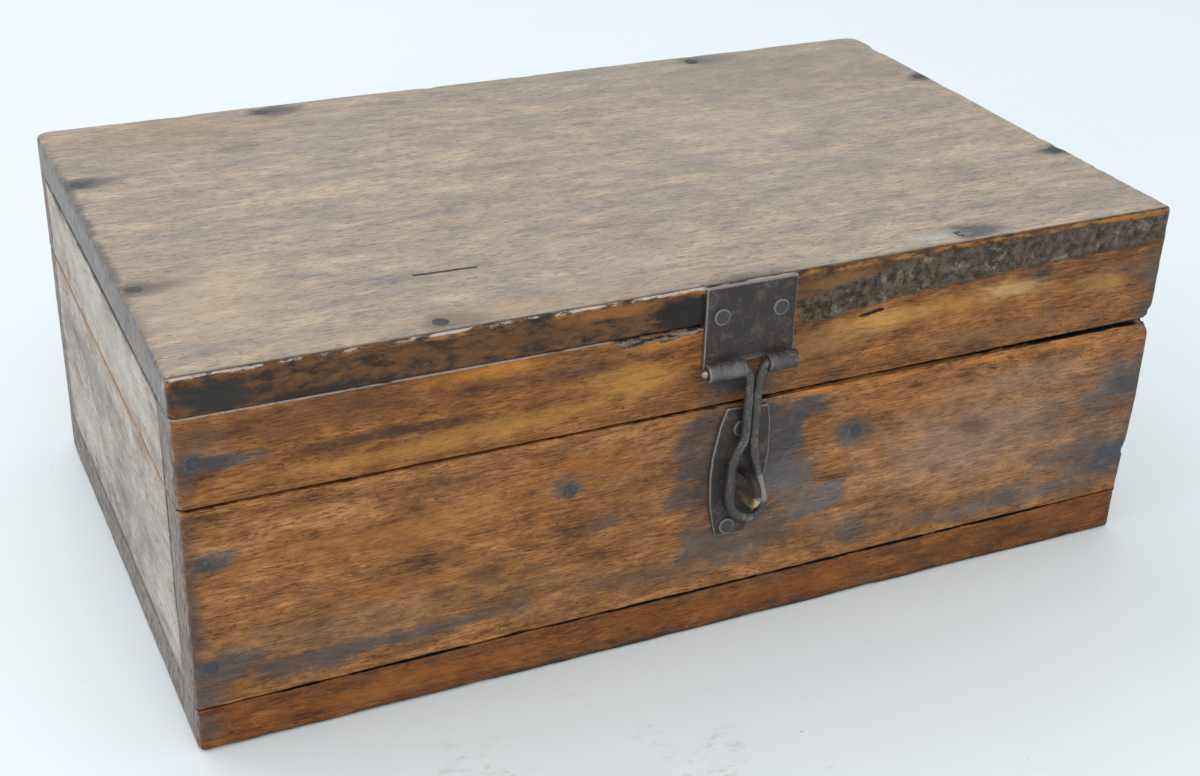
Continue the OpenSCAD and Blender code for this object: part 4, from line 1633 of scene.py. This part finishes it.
@dataclass
class Keeper:
    """The keeper: a leaf of sheet iron whose long sides are arcs, nailed on with a lean.

    Its middle is given as X and Z, and the leaf is widest a little above it.
    """

    finish: bpy.types.Material
    middle: Pair = (6.3, 52.4)
    half_height: float = 20.5
    half_width: float = 9.0
    arc: float = 62.5
    widest: float = 3.0
    lean: float = 4.8
    bevel: float = 0.25

    def surface(self) -> Array:
        """Lay out the leaf's middle surface, with uneven long sides.

        Returns:
            Rows of points.
        """
        v = np.linspace(-self.half_height, self.half_height, 46)
        u = np.linspace(-1, 1, 19)
        half = self.half_width - self.arc + np.sqrt(self.arc**2 - (v - self.widest) ** 2)
        half = half + 0.25 * (noise(np.stack([v, v, v], 1), (5, 5, 5), 77) - 0.6)
        x, z = half[:, None] * u, v[:, None] + 0 * u
        lean = math.radians(self.lean)
        points = np.full((len(v), len(u), 3), FRONT - SHEET / 2)
        points[..., 0] = self.middle[0] + x * math.cos(lean) + z * math.sin(lean)
        points[..., 2] = self.middle[1] + z * math.cos(lean) - x * math.sin(lean)
        return points

    def build(self) -> None:
        """Build the leaf."""
        points = self.surface()
        keep = np.ones((points.shape[0] - 1, points.shape[1] - 1), bool)
        piece = Sheet(points, keep).build("keeper_sheet", self.finish, 9, self.bevel)
        place(piece, "base", Slot.SHEET, "keeper_plate")


@dataclass
class Hinge:
    """A back hinge: a leaf on each part, and the pin that both are rolled round."""

    name: str
    x: float
    seed: int
    half: float = 13.0
    reach: float = 27.0
    slack: float = 0.4
    pin_half: float = 13.2
    pin_radius: float = 1.5

    def leaves(self, finish: bpy.types.Material) -> None:
        """Build both leaves: the lid's has the outer knuckles, the lower part's the middle one.

        Args:
            finish: the finish of sheet iron.
        """
        left, right, third = self.x - self.half, self.x + self.half, self.half / 3
        size = (left, right, self.reach, (BACK + HASP_OUT, HINGE_Z), 1)
        inner = ((self.x - third - self.slack, self.x + third + self.slack),)
        outer = ((left - 1, self.x - third), (self.x + third, right + 1))
        RolledSheet(f"hinge_lid_leaf_{self.name}", "lid", *size, inner).build(finish, 2)
        RolledSheet(f"hinge_base_leaf_{self.name}", "base", *size, outer, up=-1).build(finish, 3)

    def pin(self, finish: bpy.types.Material) -> None:
        """Build the pin as a plain rod with domed ends.

        Args:
            finish: the finish of wire.
        """
        xs = np.linspace(self.x - self.pin_half, self.x + self.pin_half, 24)
        path = np.stack([xs, np.full(24, BACK + HASP_OUT), np.full(24, HINGE_Z)], 1)
        rod = wire(path, np.full(24, self.pin_radius), (0, 0, 1), seed=self.seed)
        place(rod.build(f"hinge_pin_{self.name}_rod", finish), "base", Slot.WIRE, f"hinge_pin_{self.name}")


@dataclass
class Ironwork:
    """The hasp and its plate, the keeper with its staple, and the back hinges."""

    finishes: Wardrobe
    plate_ends: Pair = (-7.0, 20.6)
    mouth_half: float = 3.7

    def plate(self) -> None:
        """Build the hasp plate, with the mouth that the hasp's shank comes out of."""
        mouth = ((HASP_X - self.mouth_half, HASP_X + self.mouth_half),)
        pin = (FRONT - HASP_OUT, HASP_Z)
        reach = TOP - HASP_Z - 0.1
        plate = RolledSheet("hasp_plate", "lid", *self.plate_ends, reach, pin, -1, mouth, clear=1.9)
        plate.build(self.finishes.sheet, 1)

    def build(self) -> None:
        """Build all the ironwork."""
        hinges = (Hinge("left", -HINGE_X, 8), Hinge("right", HINGE_X, 9))
        self.plate()
        for hinge in hinges:
            hinge.leaves(self.finishes.sheet)
        Keeper(self.finishes.sheet).build()
        Staple(self.finishes.staple).build()
        for hinge in hinges:
            hinge.pin(self.finishes.wire)
        Hasp(self.finishes.wire).build()


@dataclass(frozen=True)
class Lamp:
    """A soft rectangular light that looks at the box; its place and size are in metres."""

    name: str
    at: Triple
    size: Pair
    power: float
    colour: Colour

    def build(self) -> None:
        """Add the light to the scene."""
        data = bpy.data.lights.new(self.name, "AREA")
        data.shape, data.size, data.size_y = "RECTANGLE", self.size[0], self.size[1]
        data.energy, data.color = self.power, self.colour
        lamp = bpy.data.objects.new(self.name, data)
        lamp.location = self.at
        towards = Vector((0, 0, 0.05)) - Vector(self.at)
        lamp.rotation_euler = towards.to_track_quat("-Z", "Y").to_euler()
        bpy.context.scene.collection.objects.link(lamp)


@dataclass
class Studio:
    """The camera, the soft lights and the pale floor."""

    eye: Triple = (-220.3, -472.9, 311.9)
    forward: Triple = (0.38141, 0.79702, -0.46829)
    roll: float = 1.824
    lens: float = 54.7
    floor_half: float = 3000.0
    sky: float = 0.8
    lamps: tuple[Lamp, ...] = (
        Lamp("high_back", (-0.6, 1.6, 1.7), (2.4, 1.4), 14, (0.94, 0.98, 1.0)),
        Lamp("left_window", (-2.0, 0.0, 1.0), (1.6, 1.4), 10, (0.94, 0.98, 1.0)),
        Lamp("front_fill", (-0.4, -1.9, 1.9), (1.8, 1.2), 18, (1.0, 0.98, 0.95)),
    )

    def camera(self) -> None:
        """Put the camera where the photograph was taken from."""
        data = bpy.data.cameras.new("view")
        data.lens, data.sensor_width, data.clip_start = self.lens, 36, 0.01
        ahead = Vector(self.forward).normalized()
        right = ahead.cross(Vector((0, 0, 1))).normalized()
        right = Matrix.Rotation(-math.radians(self.roll), 3, ahead) @ right
        up = right.cross(ahead)
        turn = Matrix((right, up, -ahead)).transposed().to_4x4()
        camera = bpy.data.objects.new("view", data)
        camera.matrix_world = Matrix.Translation(Vector(self.eye) * MM) @ turn
        bpy.context.scene.collection.objects.link(camera)
        bpy.context.scene.camera = camera

    def floor(self) -> None:
        """Lay a wide pale floor with faint scuffs."""
        s = Shader("floor_paint")
        y = s.split(s.mm)[1]
        cloud = s.noise(s.mm, (160, 160, 160), 4, 0.6, 50)
        patches = s.noise(s.mm, (26, 26, 26), 5, 0.7, 52)
        near = s.blot(s.mm, (-100, -170, 0), (170, 90, 40), (patches - 0.5) * 0.9, 0.9)
        scuffs = s.noise(s.mm, (1.2, 26, 26), 4, 0.7, 51).step(0.64, 0.78)
        specks = s.noise(s.mm, (2.2, 2.2, 2.2), 1, 0.5, 53).step(0.79, 0.83)
        colour = s.mix(cloud.step(0.3, 0.7), (0.82, 0.87, 0.895), (0.86, 0.9, 0.92))
        colour = s.mix(y.step(-300, 500) * 0.7, colour, (0.78, 0.82, 0.85))
        fine = s.noise(s.mm, (5, 2.4, 3), 4, 0.75, 54).step(0.5, 0.66)
        colour = s.mix(near * patches.step(0.5, 0.64) * fine * 0.45, colour, (0.5, 0.43, 0.34))
        colour = s.mix(scuffs * cloud.step(0.4, 0.6) * 0.25, colour, (0.5, 0.52, 0.54))
        colour = s.mix(specks * 0.6, colour, (0.3, 0.26, 0.22))
        material = s.finish(colour, 0.5, None, 0.0, IOR=1.4)
        far = self.floor_half
        corners = np.array([(-far, -far, 0), (far, -far, 0), (far, far, 0), (-far, far, 0)], float)
        Shape(corners, np.array([[0, 1, 2, 3]])).build("floor", material)

    def build(self) -> None:
        """Set up the whole studio."""
        self.camera()
        self.floor()
        for lamp in self.lamps:
            lamp.build()
        world = bpy.data.worlds.new("studio")
        world.use_nodes = True
        sky = world.node_tree.nodes["Background"]
        sky.inputs["Color"].default_value = (0.92, 0.97, 1.0, 1.0)
        sky.inputs["Strength"].default_value = self.sky
        bpy.context.scene.world = world
        bpy.context.scene.view_settings.view_transform = "Standard"


def main() -> None:
    """Build the studio, then the boards, the nails and the ironwork."""
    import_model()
    Studio().build()
    finishes = Wardrobe()
    WoodenBox(finishes).build()
    Nails(finishes.nail).build()
    Ironwork(finishes).build()


if __name__ == "__main__":
    logging.basicConfig(level=logging.INFO, format="%(message)s")
    main()
